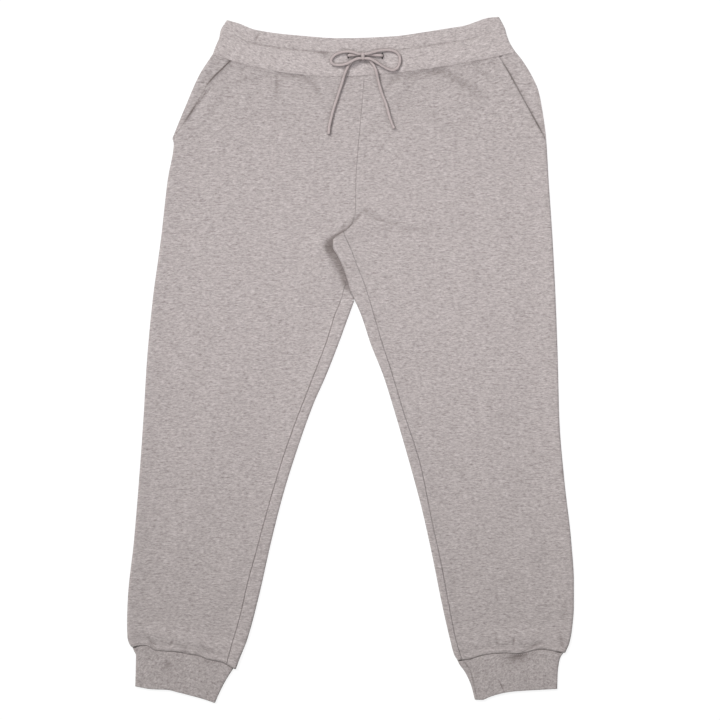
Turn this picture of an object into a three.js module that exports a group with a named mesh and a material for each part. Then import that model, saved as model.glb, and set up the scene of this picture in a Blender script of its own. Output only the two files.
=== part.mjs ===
// Jogger sweatpants laid flat with the front up, in millimetres.
// X runs to the wearer's left, Y to the waist and Z up. The cloth lies on z = 0.
// The back panels lie on the surface, the fronts lie on them, and the cloth
// rolls over at the side seams and at the inner legs.
import * as THREE from "three";

// Driving dimensions
const CLOTH = 2;
const FACING_CLOTH = 1.6;
const BAND_WALL = 3;
const CUFF_WALL = 2.5;
const SEAM_GAP = 0.3;
const EDGE_CLEARANCE = 0.5;
const FOLD_RADIUS = 2.5;
const BAND_FOLD_RADIUS = 1.9;
const CUFF_FOLD_RADIUS = 1.75;
const CORD_DIAMETER = 5;

// Heights on the table of rows: where the fronts, pockets and legs begin and end
const WAIST_Y = 426.3;
const POCKET_FOOT_Y = 331.5;
const PLEAT_TOP_Y = 223.5;
const LEFT_TONGUE_Y = 191.25;
const RIGHT_TONGUE_Y = 118.5;
const APEX_Y = 89.25;
const CUFF_Y = -445;
const CUFF_BEND_Y = -340;

// Middle surface of the front cloth: in open cloth, and at a rolled edge
const BASE_HEIGHT = 3.6;
const LEAST_HEIGHT = 3.35;
const LOFT = 2.4;
const LOFT_SPREAD = 14;

const POCKET_TUCK = 12;
const FACING_LIFT = 0.85;
const POCKET_SPREAD = 9;
const POCKET_HOLD = 22;
const POCKET_FADE = 14;
const POCKET_EDGE = { atWaist: 5.6, atFoot: 4.2 };
const EDGE_SPREAD = 8;
const PLEAT_TUCK = 2;
const PLEAT_FOOT_Y = 132;
const PLEAT_HEAD_Y = 186;
const PLEAT_SPREAD = 34;
const VALLEY_WIDTH = 15;

const CLOTH_COLOUR = 0xb8aeac;
const RIB_COLOUR = 0xbab1ae;
const CORD_COLOUR = 0xbeb0ac;

// Steps of the mesh: round a roll, across a panel, and down the rows
const FOLD_STEPS = 3;
const FRONT_COLUMNS = 12;
const BACK_STEPS = 5;
const STRIP_STEPS = 2;
const FACING_STEPS = 3;
const WAIST_STEPS = 7;
const HIP_STEPS = 4;
const LEG_STEPS = 12;
const LOW_ROWS = [-360, -385, -405, -420, -434];

function table(names, rows) {
  return rows.map((row) => Object.fromEntries(names.map((name, k) => [name, row[k]])));
}

// Outlines of each half as x at a height y: the outer edge, and the inner edge
// of the leg below the crotch. The inseam is the seam that shows on top.
const RIGHT = {
  name: "right",
  sign: -1,
  waistRise: 32,
  waistBow: 12.5,
  cuffOuterRise: 14.5,
  cuffInnerRise: -19.25,
  cuffBow: 11,
  tongueTop: RIGHT_TONGUE_Y,
  outer: table(["y", "x"], [
    [458.3, -207], [427, -227], [382, -246.8], [340, -264], [331.5, -267], [326, -265.2],
    [270, -274.3], [180, -284.6], [90, -296.8], [0, -305.3], [-90, -310.8], [-180, -317.3],
    [-270, -324.8], [-360, -334.2], [-395, -335.2], [-415, -334.6], [-424, -332.4], [-431, -328.2],
  ]),
  inner: table(["y", "x"], [
    [89.25, 6], [67.5, -2], [22.5, -18.5], [-22.5, -36.2], [-67.5, -56], [-135, -80],
    [-202.5, -101], [-270, -118.2], [-360, -138.6], [-420, -154.8], [-447, -165.4], [-464.3, -171.8],
  ]),
  inseam: table(["y", "x"], [
    [118.5, -6], [105.75, -9.75], [89.25, -14.5], [67.5, -23.3], [31.5, -34.5], [-3, -47.3],
    [-49.5, -65.3], [-96, -83.3], [-142.5, -99.8], [-228, -125.3], [-297, -143.9],
    [-334.5, -154.2], [-379.5, -164.3], [-441.5, -181.8], [-464, -187],
  ]),
  pocket: table(["y", "x"], [
    [453, -175.5], [414, -213.8], [390, -227.3], [366, -242.5], [331.5, -265.5],
  ]),
};

const LEFT = {
  name: "left",
  sign: 1,
  waistRise: 35,
  waistBow: 4.5,
  cuffOuterRise: 5.5,
  cuffInnerRise: -5.75,
  cuffBow: 6.5,
  tongueTop: LEFT_TONGUE_Y,
  outer: table(["y", "x"], [
    [461.3, 248.3], [450, 257.3], [427, 271.5], [405, 281.5], [382, 286.5], [331.5, 293.5],
    [270, 297.2], [180, 303.2], [90, 307.8], [0, 311], [-90, 313.4], [-180, 320.8],
    [-270, 331], [-335, 335.2], [-368, 335.2], [-405, 332.2], [-425, 328.2], [-439.5, 322],
  ]),
  inner: table(["y", "x"], [
    [89.25, 6.3], [67.5, 15.8], [22.5, 30.8], [-22.5, 48.8], [-90, 69.8], [-157.5, 89.3],
    [-225, 107.3], [-292.5, 122.3], [-360, 135.8], [-420, 149.3], [-442, 155.3], [-450.8, 160.5],
  ]),
  inseam: table(["y", "x"], [
    [191.25, -10.35], [186, -8.55], [180, -5.4], [171, -1.05], [156, 4.8], [144, 9.2],
    [132, 13.8], [118.5, 19.35], [105.75, 23.7], [89.25, 29], [31.5, 45.8], [-19.5, 62.3],
    [-75, 78.8], [-154.5, 104.3], [-241.5, 122.3], [-307.5, 136.5], [-391.5, 152.3],
    [-420, 158.3], [-446.4, 166.5],
  ]),
  pocket: table(["y", "x"], [
    [455.3, 223.5], [444, 230.3], [406.5, 251.3], [357, 278.3], [331.5, 292.5],
  ]),
};

// The line where the two fronts meet: the centre front seam, then the edge of
// the pleat, which carries the left side over the right. Lift is the height
// of the pleat's edge above open cloth.
const MIDDLE = table(["y", "x", "lift"], [
  [426.3, 21, 0], [382.5, 17.3, 0], [333, 12.8, 0], [270, 8.3, 0], [223.5, 7.5, 0.3],
  [207, 3.5, 1.6], [199.5, -0.8, 2.6], [191.25, -11.85, 3.6], [186, -20.25, 4.1],
  [180, -26.5, 4.3], [171, -26.9, 4.3], [156, -19.5, 4.2], [144, -13.5, 4], [132, -8.9, 3.8],
  [118.5, -4.65, 3.4], [105.75, -1.5, 2.9], [89.25, 6.15, 2.4],
]);

// Soft folds on the fronts, as ridges with half sizes along and across
const FOLDS = table(["x", "y", "turn", "long", "wide", "height"], [
  [-46, 412, -44, 24, 7, 1.1],
  [-46, 388, 33, 18, 7, 0.8],
  [-110, 400, 85, 16, 5, 0.6],
  [-44, 146, -71, 46, 11, 2.6],
  [-95, 200, -40, 60, 16, 0.9],
  [77, 424, 27, 26, 8, 1.1],
  [164, 420, -39, 26, 7, 1.1],
  [196, 433, -28, 24, 7, 1],
  [60, 190, -24, 60, 14, 1.1],
  [120, 250, -30, 80, 20, 0.7],
  [-215, 120, 82, 130, 24, 0.8],
  [-205, -120, 78, 170, 24, 1.3],
  [-262, -300, 84, 90, 16, 1],
  [-185, -330, 72, 80, 15, 1.1],
  [225, 90, -86, 140, 24, 0.9],
  [215, -130, -80, 170, 24, 1.2],
  [275, -300, -84, 90, 16, 1.1],
  [190, -340, -74, 80, 15, 0.9],
]);

// Gathers as waves along x that fade with distance from a seam, and the soft
// roll of cloth that stands over each cuff
const WAIST_GATHERS = { pitch: 4, sway: 0.6, swayPitch: 31, height: 0.7, reach: 16 };
const CUFF_GATHERS = { pitch: 4.8, sway: 0.8, swayPitch: 19, height: 1.3, reach: 15 };
const BLOUSE = { height: 1.8, centre: 20, spread: 13 };

const clamp01 = (value) => Math.min(1, Math.max(0, value));
const mix = (a, b, t) => a + (b - a) * t;
const smooth = (t) => clamp01(t) ** 2 * (3 - 2 * clamp01(t));
const bell = (t) => Math.exp(-t * t);

// Value of a column at key, by a curve that never swings past its rows
function along(rows, key, column, at) {
  const falling = rows[0][key] > rows[rows.length - 1][key];
  const list = falling ? [...rows].reverse() : rows;
  const last = list.length - 1;
  if (at <= list[0][key]) {
    return list[0][column];
  }
  if (at >= list[last][key]) {
    return list[last][column];
  }
  let k = 0;
  while (list[k + 1][key] < at) {
    k += 1;
  }
  const rise = (m) => (list[m + 1][column] - list[m][column]) / (list[m + 1][key] - list[m][key]);
  const slope = (m) => {
    if (m === 0 || m === last) {
      return rise(Math.min(m, last - 1));
    }
    const before = rise(m - 1);
    const after = rise(m);
    return before * after <= 0 ? 0 : (2 * before * after) / (before + after);
  };
  const span = list[k + 1][key] - list[k][key];
  const t = (at - list[k][key]) / span;
  return (
    list[k][column] * (1 + 2 * t) * (1 - t) ** 2 +
    list[k + 1][column] * t * t * (3 - 2 * t) +
    slope(k) * span * t * (1 - t) ** 2 +
    slope(k + 1) * span * t * t * (t - 1)
  );
}

const outerX = (half, y) => along(half.outer, "y", "x", y);
const innerX = (half, y) => along(half.inner, "y", "x", y);
const inseamX = (half, y) => along(half.inseam, "y", "x", y);
const pocketX = (half, y) => along(half.pocket, "y", "x", y);
const middleX = (y) => along(MIDDLE, "y", "x", y);
const backSeamX = (y) => mix(6.15, 21, (y - APEX_Y) / (WAIST_Y - APEX_Y));

// A row runs from the outer edge to the middle or the inner leg. It bows up
// to the sides at the waist and follows the cuff seam at the foot.
function rowLine(half, y) {
  const waist = clamp01((y - POCKET_FOOT_Y) / (WAIST_Y - POCKET_FOOT_Y));
  const cuff = clamp01((CUFF_BEND_Y - y) / (CUFF_BEND_Y - CUFF_Y)) ** 2;
  const outerY = y + half.waistRise * waist + half.cuffOuterRise * cuff;
  const innerY = y + half.cuffInnerRise * cuff;
  const outer = outerX(half, outerY);
  const inner = y > APEX_Y ? backSeamX(y) : innerX(half, innerY);
  const bow = half.cuffBow * cuff - half.waistBow * waist ** 1.5;
  const heightAt = (x) => {
    const u = clamp01((x - outer) / (inner - outer));
    return mix(outerY, innerY, u) + 4 * u * (1 - u) * bow;
  };
  const meet = (curve) => {
    let x = curve(half, y);
    for (let pass = 0; pass < 6; pass += 1) {
      x = curve(half, heightAt(x));
    }
    return x;
  };
  return { y, outer, inner, heightAt, meet };
}

const waistSeamY = (half, x) => rowLine(half, WAIST_Y).heightAt(x);
const cuffSeamY = (half, x) => rowLine(half, CUFF_Y).heightAt(x);

function facingHeight(half, x, y) {
  const fall = clamp01((waistSeamY(half, x) - y) / (WAIST_Y - POCKET_FOOT_Y));
  const edge = mix(POCKET_EDGE.atWaist, POCKET_EDGE.atFoot, smooth(fall * 1.4));
  const flat = CLOTH + SEAM_GAP + FACING_CLOTH / 2;
  const inward = Math.abs(x - outerX(half, y)) - FOLD_RADIUS - FACING_CLOTH / 2;
  return mix(flat, edge, bell(Math.max(0, inward) / POCKET_SPREAD));
}

function foldHeight(x, y) {
  let height = 0;
  for (const fold of FOLDS) {
    const turn = THREE.MathUtils.degToRad(fold.turn);
    const dx = x - fold.x;
    const dy = y - fold.y;
    const lengthwise = (dx * Math.cos(turn) + dy * Math.sin(turn)) / fold.long;
    const across = (dy * Math.cos(turn) - dx * Math.sin(turn)) / fold.wide;
    height += fold.height * bell(lengthwise) * bell(across);
  }
  return height;
}

function gatherHeight(gathers, x, distance) {
  const sway = gathers.sway * Math.sin(x / gathers.swayPitch);
  const wave = 0.5 + 0.5 * Math.sin(x / gathers.pitch + sway);
  return gathers.height * wave * Math.exp(-Math.max(0, distance) / gathers.reach);
}

// Middle surface of the cloth that lies on top, fronts and rolled strips alike
function topHeight(half, x, y) {
  const rolled = (distance) => {
    const past = Math.max(0, distance - FOLD_RADIUS - CLOTH / 2);
    return LOFT * Math.exp(-(past ** 2) / (2 * LOFT_SPREAD ** 2));
  };
  const outerLoft = rolled(Math.abs(x - outerX(half, y)));
  const fromWaist = waistSeamY(half, x) - y;
  const fromCuff = y - cuffSeamY(half, x);
  let height = foldHeight(x, y);
  height += gatherHeight(WAIST_GATHERS, x, fromWaist) + gatherHeight(CUFF_GATHERS, x, fromCuff);
  height += BLOUSE.height * bell((fromCuff - BLOUSE.centre) / BLOUSE.spread);
  let middleLoft = 0;
  if (y <= APEX_Y) {
    middleLoft = rolled(Math.abs(x - innerX(half, y)));
  } else if (y < PLEAT_TOP_Y) {
    const past = (x - middleX(y)) * half.sign;
    const spread = mix(LOFT_SPREAD * 1.4, PLEAT_SPREAD, clamp01((y - APEX_Y) / 40));
    if (half === LEFT) {
      middleLoft = along(MIDDLE, "y", "lift", y) * bell(Math.max(0, past) / spread);
    } else {
      const low = smooth((y - APEX_Y) / 24) * smooth((PLEAT_TOP_Y - y) / 34);
      height *= mix(1, smooth(past / VALLEY_WIDTH), low);
      middleLoft = LOFT * (1 - low) * bell(past / LOFT_SPREAD) * clamp01((PLEAT_TOP_Y - y) / 130);
      height += mix(0, LEAST_HEIGHT - BASE_HEIGHT, low * (1 - smooth(past / VALLEY_WIDTH)));
    }
  }
  height += BASE_HEIGHT + Math.max(outerLoft, middleLoft);
  if (y > POCKET_FOOT_Y - 40) {
    const inside = Math.abs(x) < Math.abs(pocketX(half, y)) ? Math.abs(x - pocketX(half, y)) : 0;
    const cover = facingHeight(half, x, y) + (FACING_CLOTH + CLOTH) / 2 + 1.5 * SEAM_GAP;
    const hold = 1 - smooth((inside - POCKET_TUCK - 4) / POCKET_HOLD);
    const fade = Math.exp(-Math.max(0, POCKET_FOOT_Y - y) / POCKET_FADE);
    height = Math.max(height, mix(BASE_HEIGHT, cover, hold * fade));
  }
  return Math.max(LEAST_HEIGHT, height);
}

// A sheet of cloth on a grid of points. Each point holds its place on the
// middle surface and the way out of the garment there. Cells that the filter
// leaves out are open, and every open edge gets a wall.
function sheet(grid, thickness, isPresent, closed = false) {
  const rows = grid.length;
  const columns = grid[0].length;
  const cellColumns = closed ? columns : columns - 1;
  const positions = [];
  for (const row of grid) {
    for (const point of row) {
      const { at, out, rise = 0 } = point;
      positions.push(
        at.x + out.x * (thickness / 2 + rise),
        at.y + out.y * (thickness / 2 + rise),
        at.z + out.z * (thickness / 2 + rise),
        at.x - (out.x * thickness) / 2,
        at.y - (out.y * thickness) / 2,
        at.z - (out.z * thickness) / 2,
      );
    }
  }
  const outerIndex = (i, j) => 2 * (i * columns + (j % columns));
  const present = (i, j) => {
    if (i < 0 || i >= rows - 1) {
      return false;
    }
    if (closed) {
      return isPresent(i, (j + columns) % columns);
    }
    return j >= 0 && j < cellColumns && isPresent(i, j);
  };
  const faces = [];
  const quad = (a, b, c, d) => faces.push(a, b, c, a, c, d);
  const wall = (p, q) => quad(q, p, p + 1, q + 1);
  for (let i = 0; i < rows - 1; i += 1) {
    for (let j = 0; j < cellColumns; j += 1) {
      if (!present(i, j)) {
        continue;
      }
      const a = outerIndex(i, j);
      const b = outerIndex(i, j + 1);
      const c = outerIndex(i + 1, j + 1);
      const d = outerIndex(i + 1, j);
      quad(a, b, c, d);
      quad(d + 1, c + 1, b + 1, a + 1);
      if (!present(i - 1, j)) {
        wall(a, b);
      }
      if (!present(i, j + 1)) {
        wall(b, c);
      }
      if (!present(i + 1, j)) {
        wall(c, d);
      }
      if (!present(i, j - 1)) {
        wall(d, a);
      }
    }
  }
  return solid(positions, faces);
}

// Keeps the points that faces use, and turns the faces out if they point in
function solid(positions, faces) {
  const used = new Map();
  const kept = [];
  const index = faces.map((vertex) => {
    if (!used.has(vertex)) {
      used.set(vertex, kept.length / 3);
      kept.push(...positions.slice(3 * vertex, 3 * vertex + 3));
    }
    return used.get(vertex);
  });
  let volume = 0;
  const corner = (k) => new THREE.Vector3().fromArray(kept, 3 * index[k]);
  for (let k = 0; k < index.length; k += 3) {
    volume += corner(k).dot(corner(k + 1).cross(corner(k + 2)));
  }
  if (volume < 0) {
    for (let k = 0; k < index.length; k += 3) {
      [index[k + 1], index[k + 2]] = [index[k + 2], index[k + 1]];
    }
  }
  const geometry = new THREE.BufferGeometry();
  geometry.setAttribute("position", new THREE.Float32BufferAttribute(kept, 3));
  geometry.setIndex(index);
  geometry.computeVertexNormals();
  return geometry;
}

const up = () => new THREE.Vector3(0, 0, 1);
const down = () => new THREE.Vector3(0, 0, -1);

// Point on a rolled edge. Angle 0 is the outermost line, a quarter turn is the
// top and minus a quarter turn is the bottom. Side is +1 where out is +X.
function rolledPoint(edgeX, heightAt, side, angle, radius, low, high, thickness) {
  const centre = edgeX - side * (radius + thickness / 2);
  const x = centre + side * radius * Math.cos(angle);
  const z = (low + high) / 2 + ((high - low) / 2) * Math.sin(angle);
  return {
    at: new THREE.Vector3(x, heightAt(x), z),
    out: new THREE.Vector3(side * Math.cos(angle), 0, Math.sin(angle)),
  };
}

// Angle of half a seam's gap, taken on the inside of the roll
const seamAngle = SEAM_GAP / 2 / (FOLD_RADIUS - CLOTH / 2);
const quarter = Math.PI / 2;

// The rows of every panel, from the waist seam to the cuff seam
function rowHeights() {
  const heights = [];
  const span = (from, to, steps) => {
    for (let k = 0; k < steps; k += 1) {
      heights.push(mix(from, to, k / steps));
    }
  };
  span(WAIST_Y, POCKET_FOOT_Y, WAIST_STEPS);
  span(POCKET_FOOT_Y, PLEAT_TOP_Y, HIP_STEPS);
  heights.push(...MIDDLE.filter((row) => row.y <= PLEAT_TOP_Y).map((row) => row.y).slice(0, -1));
  span(APEX_Y, LOW_ROWS[0], LEG_STEPS);
  heights.push(...LOW_ROWS, CUFF_Y);
  return heights;
}

const ROWS = rowHeights();

// Height of a row that stays just clear of the waist or cuff seam, a little
// more so where the cloth rolls over at the edges
function clearRow(half, line) {
  const away = line.y === WAIST_Y ? -1 : line.y === CUFF_Y ? 1 : 0;
  return (x) => {
    const fromEdge = Math.min(Math.abs(x - line.outer), Math.abs(x - line.inner));
    return line.heightAt(x) + away * (SEAM_GAP / 2 + EDGE_CLEARANCE * (1 - smooth(fromEdge / EDGE_SPREAD)));
  };
}

// A front runs from its side of the side seam, or from the pocket slit, to the
// middle of the garment and below the crotch to the inseam on top
function frontPanel(half) {
  const side = half.sign;
  const reach = FOLD_RADIUS + CLOTH / 2;
  const grid = ROWS.map((rowY) => {
    const line = rowLine(half, rowY);
    const heightAt = clearRow(half, line);
    const start = rowY > POCKET_FOOT_Y ? line.meet(pocketX) : line.outer - side * reach;
    let end = rowY > half.tongueTop ? middleX(rowY) : line.meet(inseamX);
    end += (side * SEAM_GAP) / 2;
    if (half === RIGHT && rowY <= PLEAT_HEAD_Y && rowY >= PLEAT_FOOT_Y) {
      end += PLEAT_TUCK + SEAM_GAP / 2;
    }
    const row = [];
    for (let k = 0; k < FOLD_STEPS; k += 1) {
      const angle = mix(seamAngle, quarter, k / FOLD_STEPS);
      const high = topHeight(half, start, heightAt(start));
      row.push(rolledPoint(line.outer, heightAt, side, angle, FOLD_RADIUS, CLOTH / 2, high, CLOTH));
    }
    for (let k = 0; k <= FRONT_COLUMNS; k += 1) {
      const x = mix(start, end, k / FRONT_COLUMNS);
      const y = heightAt(x);
      row.push({ at: new THREE.Vector3(x, y, topHeight(half, x, y)), out: up() });
    }
    return row;
  });
  const footRow = ROWS.indexOf(POCKET_FOOT_Y);
  return sheet(grid, CLOTH, (i, j) => j >= FOLD_STEPS || i >= footRow);
}

// Places across the part of a back panel that lies on the surface. The band
// and the cuffs have theirs at the same places, so that the seams fit.
function backColumns(half, line) {
  const side = half.sign;
  const reach = FOLD_RADIUS + CLOTH / 2;
  const start = line.outer - side * reach;
  const isLeg = line.y <= APEX_Y;
  const end = line.inner + side * (SEAM_GAP / 2 + (isLeg ? reach : 0));
  return Array.from({ length: BACK_STEPS + 1 }, (_, k) => mix(start, end, k / BACK_STEPS));
}

// A back lies on the surface, rolls over at the side seam and at the inner leg
// and ends at the inseam on top. The left one's tongue lies over the right leg.
function backPanel(half) {
  const side = half.sign;
  const reach = FOLD_RADIUS + CLOTH / 2;
  const floor = CLOTH / 2;
  const grid = ROWS.map((rowY) => {
    const line = rowLine(half, rowY);
    const heightAt = clearRow(half, line);
    const start = line.outer - side * reach;
    const startY = heightAt(start);
    const isLeg = rowY <= APEX_Y;
    const hasStrip = rowY <= half.tongueTop;
    const row = [];
    const edgeHigh = topHeight(half, start, startY);
    for (let k = 0; k < FOLD_STEPS; k += 1) {
      const angle = mix(-seamAngle, -quarter, k / FOLD_STEPS);
      row.push(rolledPoint(line.outer, heightAt, side, angle, FOLD_RADIUS, floor, edgeHigh, CLOTH));
    }
    for (const x of backColumns(half, line)) {
      row.push({ at: new THREE.Vector3(x, heightAt(x), floor), out: down() });
    }
    const edge = (isLeg ? line.inner : middleX(rowY)) + (side * SEAM_GAP) / 2;
    const seam = line.meet(inseamX) - (side * SEAM_GAP) / 2;
    const isTip = rowY === half.tongueTop;
    const isFlatStrip = isTip || (half === RIGHT && !isLeg);
    const crown = isFlatStrip ? edge : edge + side * reach;
    const crownY = heightAt(crown);
    const high = hasStrip ? topHeight(half, crown, crownY) : CLOTH;
    const low = isLeg ? floor : high - 2 * FOLD_RADIUS;
    for (let k = 1; k <= 2 * FOLD_STEPS; k += 1) {
      const angle = mix(-quarter, quarter, k / (2 * FOLD_STEPS));
      if (isTip && half === LEFT) {
        const x = mix(edge, seam, k / (2 * FOLD_STEPS + STRIP_STEPS));
        row.push({ at: new THREE.Vector3(x, heightAt(x), high), out: up() });
      } else if (isFlatStrip) {
        row.push({ at: new THREE.Vector3(edge, crownY, high), out: up() });
      } else {
        row.push(rolledPoint(edge, heightAt, -side, angle, FOLD_RADIUS, low, high, CLOTH));
      }
    }
    const first = row[row.length - 1].at.x;
    for (let k = 1; k <= STRIP_STEPS; k += 1) {
      const x = mix(first, seam, k / STRIP_STEPS);
      const y = heightAt(x);
      row.push({ at: new THREE.Vector3(x, y, hasStrip ? topHeight(half, x, y) : CLOTH), out: up() });
    }
    return row;
  });
  const apexRow = ROWS.indexOf(APEX_Y);
  const tongueRow = ROWS.indexOf(half.tongueTop);
  const rollStart = FOLD_STEPS + BACK_STEPS;
  const rollMiddle = rollStart + FOLD_STEPS;
  const rollEnd = rollMiddle + FOLD_STEPS;
  return sheet(grid, CLOTH, (i, j) => {
    if (j < rollStart) {
      return true;
    }
    if (j < rollMiddle) {
      return i >= apexRow;
    }
    if (j < rollEnd) {
      return i >= (half === LEFT ? tongueRow : apexRow);
    }
    return i >= tongueRow;
  });
}

// The facing fills the corner that the pocket slit opens and reaches under the
// front by the tuck
function pocketFacing(half) {
  const side = half.sign;
  const rows = ROWS.filter((y) => y >= POCKET_FOOT_Y);
  const grid = rows.map((rowY) => {
    const line = rowLine(half, rowY === POCKET_FOOT_Y ? POCKET_FOOT_Y + SEAM_GAP : rowY);
    const heightAt = clearRow(half, line);
    const start = line.outer - side * (FOLD_RADIUS + FACING_CLOTH / 2);
    const end = line.meet(pocketX) - side * POCKET_TUCK;
    const y = heightAt(start);
    const high = facingHeight(half, start, y);
    const backHigh = topHeight(half, line.outer - side * (FOLD_RADIUS + CLOTH / 2), y);
    const low = (CLOTH / 2 + backHigh) / 2 + FACING_LIFT;
    const row = [];
    for (let k = 0; k < FOLD_STEPS; k += 1) {
      const angle = mix(seamAngle, quarter, k / FOLD_STEPS);
      const lowest = 2 * low - high;
      row.push(rolledPoint(line.outer, heightAt, side, angle, FOLD_RADIUS, lowest, high, FACING_CLOTH));
    }
    for (let k = 0; k <= FACING_STEPS; k += 1) {
      const x = mix(start, end, k / FACING_STEPS);
      const rowHeight = heightAt(x);
      row.push({ at: new THREE.Vector3(x, rowHeight, facingHeight(half, x, rowHeight)), out: up() });
    }
    return row;
  });
  return sheet(grid, FACING_CLOTH, () => true);
}

// A flattened tube of cloth between two curves, such as the band or a cuff.
// Each edge is a list of points from the first curve to the second.
function flatTube(shape) {
  const { first, second, levels, wall, radius, frontSteps } = shape;
  const inset = radius + wall / 2;
  const pinned = (edge) => {
    const ends = edge.map((point) => ({ ...point }));
    ends[0].y = first(ends[0].x);
    ends[ends.length - 1].y = second(ends[ends.length - 1].x);
    return ends;
  };
  const leftEdge = pinned(shape.leftEdge);
  const rightEdge = pinned(shape.rightEdge);
  const edgeAt = (edge, v) => ({
    x: along(edge, "v", "x", v),
    y: along(edge, "v", "y", v),
  });
  const grid = levels.map((v) => {
    const left = edgeAt(leftEdge, v);
    const right = edgeAt(rightEdge, v);
    const firstLeft = edgeAt(leftEdge, 0).x;
    const firstRight = edgeAt(rightEdge, 0).x;
    const secondLeft = edgeAt(leftEdge, 1).x;
    const secondRight = edgeAt(rightEdge, 1).x;
    const clearAt = (u) => {
      const fromEdge = Math.min(u, 1 - u) * (right.x - left.x);
      const clear = SEAM_GAP / 2 + EDGE_CLEARANCE * (1 - smooth(fromEdge / EDGE_SPREAD));
      return v === 0 ? shape.away * clear : 0;
    };
    const place = (u) => {
      const x1 = mix(firstLeft, firstRight, u);
      const x2 = mix(secondLeft, secondRight, u);
      const leftShift = left.y - mix(first(firstLeft), second(secondLeft), v);
      const rightShift = right.y - mix(first(firstRight), second(secondRight), v);
      return {
        x: mix(left.x, right.x, u),
        y: mix(first(x1), second(x2), v) + mix(leftShift, rightShift, u) + clearAt(u),
      };
    };
    const insetU = inset / (right.x - left.x);
    const placeY = (x) => place((x - left.x) / (right.x - left.x)).y;
    const floor = wall / 2;
    const high = floor + 2 * radius;
    const row = [];
    for (let k = 0; k <= frontSteps; k += 1) {
      const u = mix(insetU, 1 - insetU, k / frontSteps);
      const point = place(u);
      const rise = shape.rise(u, v, point.x);
      row.push({ at: new THREE.Vector3(point.x, point.y, high), out: up(), rise });
    }
    const turn = (u, side, from, to) => {
      const point = place(u);
      for (let k = 1; k < 2 * FOLD_STEPS; k += 1) {
        const angle = mix(from, to, k / (2 * FOLD_STEPS));
        const edgeX = point.x + side * inset;
        row.push(rolledPoint(edgeX, placeY, side, angle, radius, floor, high, wall));
      }
    };
    turn(1 - insetU, 1, quarter, -quarter);
    for (const x of shape.backPlaces) {
      const point = place(clamp01((x - firstLeft) / (firstRight - firstLeft)));
      row.push({ at: new THREE.Vector3(point.x, point.y, floor), out: down() });
    }
    turn(insetU, -1, -quarter, quarter);
    return row;
  });
  return sheet(grid, wall, () => true, true);
}

const BAND_LEFT_EDGE = table(["v", "x", "y"], [
  [0, -207, 458.3], [0.25, -201.8, 472.5], [0.45, -196.8, 484], [0.65, -195.2, 493.5], [1, -185.7, 510],
]);
const BAND_RIGHT_EDGE = table(["v", "x", "y"], [
  [0, 248.3, 461.3], [0.3, 238.5, 477], [0.5, 234.2, 488.5], [0.68, 231.8, 497.3], [1, 222.8, 514.6],
]);
const BAND_TOP = table(["x", "y"], [
  [-185.7, 510], [-167.3, 504.5], [-143.3, 495.3], [-108.8, 489.6], [-62.3, 485.2], [-30.8, 482.8],
  [-9.8, 482.5], [65.3, 485.4], [108.8, 491.3], [144.8, 497], [171.8, 501.5], [186.8, 506.6],
  [206.3, 513], [222.8, 514.6],
]);
const BAND_LEVELS = [0, 0.28, 0.54, 0.6, 0.66, 0.86, 1];
const CHANNEL_LEVEL = 0.6;
const CHANNEL_DEPTH = 0.5;
const BAND_GATHERS = { count: 15, height: 0.5, sway: 1.3, swayRate: 9 };
const BAND_STEPS = 42;
const BOW_CLEAR = 36;

const waistY = (x) => waistSeamY(x < middleX(WAIST_Y) ? RIGHT : LEFT, x);

function bandRise(u, v, x) {
  const sides = smooth(u / 0.08) * smooth((1 - u) / 0.08);
  const bow = smooth((Math.abs(x - middleX(WAIST_Y)) - BOW_CLEAR) / BOW_CLEAR);
  const sway = BAND_GATHERS.sway * Math.sin(BAND_GATHERS.swayRate * u);
  const gather = 0.5 + 0.5 * Math.sin(2 * Math.PI * BAND_GATHERS.count * u + sway);
  const groove = v === CHANNEL_LEVEL ? CHANNEL_DEPTH : 0;
  return sides * bow * (BAND_GATHERS.height * gather * (v < 1 ? 1 : 0.5) - groove);
}

function waistband() {
  return flatTube({
    first: waistY,
    second: (x) => along(BAND_TOP, "x", "y", x),
    leftEdge: BAND_LEFT_EDGE,
    rightEdge: BAND_RIGHT_EDGE,
    levels: BAND_LEVELS,
    wall: BAND_WALL,
    radius: BAND_FOLD_RADIUS,
    frontSteps: BAND_STEPS,
    backPlaces: [
      ...backColumns(LEFT, rowLine(LEFT, WAIST_Y)),
      ...backColumns(RIGHT, rowLine(RIGHT, WAIST_Y)).reverse(),
    ],
    away: 1,
    rise: bandRise,
  });
}

const CUFFS = {
  right: {
    leftEdge: table(["v", "x", "y"], [[0, -324, -432.6], [0.5, -322.6, -460], [1, -323, -489.5]]),
    rightEdge: table(["v", "x", "y"], [
      [0, -175, -464.5], [0.2, -182.6, -474], [0.45, -190.5, -487.5], [0.8, -199, -505], [1, -203.2, -514.5],
    ]),
    hem: table(["x", "y"], [
      [-323, -489.5], [-297.8, -493.8], [-274.7, -494.8], [-258.8, -498.5], [-240, -503.3],
      [-223.5, -507.8], [-203.2, -514.5],
    ]),
  },
  left: {
    leftEdge: table(["v", "x", "y"], [
      [0, 160.5, -450.9], [0.11, 163.8, -457.5], [0.24, 169.6, -465], [0.38, 174.4, -473],
      [0.65, 181.2, -489], [1, 186.5, -509.5],
    ]),
    rightEdge: table(["v", "x", "y"], [
      [0, 319.5, -439.5], [0.15, 314.6, -447.5], [0.35, 312.2, -458.5], [0.6, 310.8, -472],
      [1, 310.2, -493.3],
    ]),
    hem: table(["x", "y"], [
      [186.5, -509.5], [197, -509.8], [209.3, -505.2], [221, -501.6], [233, -498.8],
      [246.8, -497], [264, -495.8], [310.2, -493.3],
    ]),
  },
};

const CUFF_LEVELS = [0, 0.3, 0.65, 1];
const CUFF_STEPS = 18;
const CUFF_WAVES = { count: 9, height: 0.35 };

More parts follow.
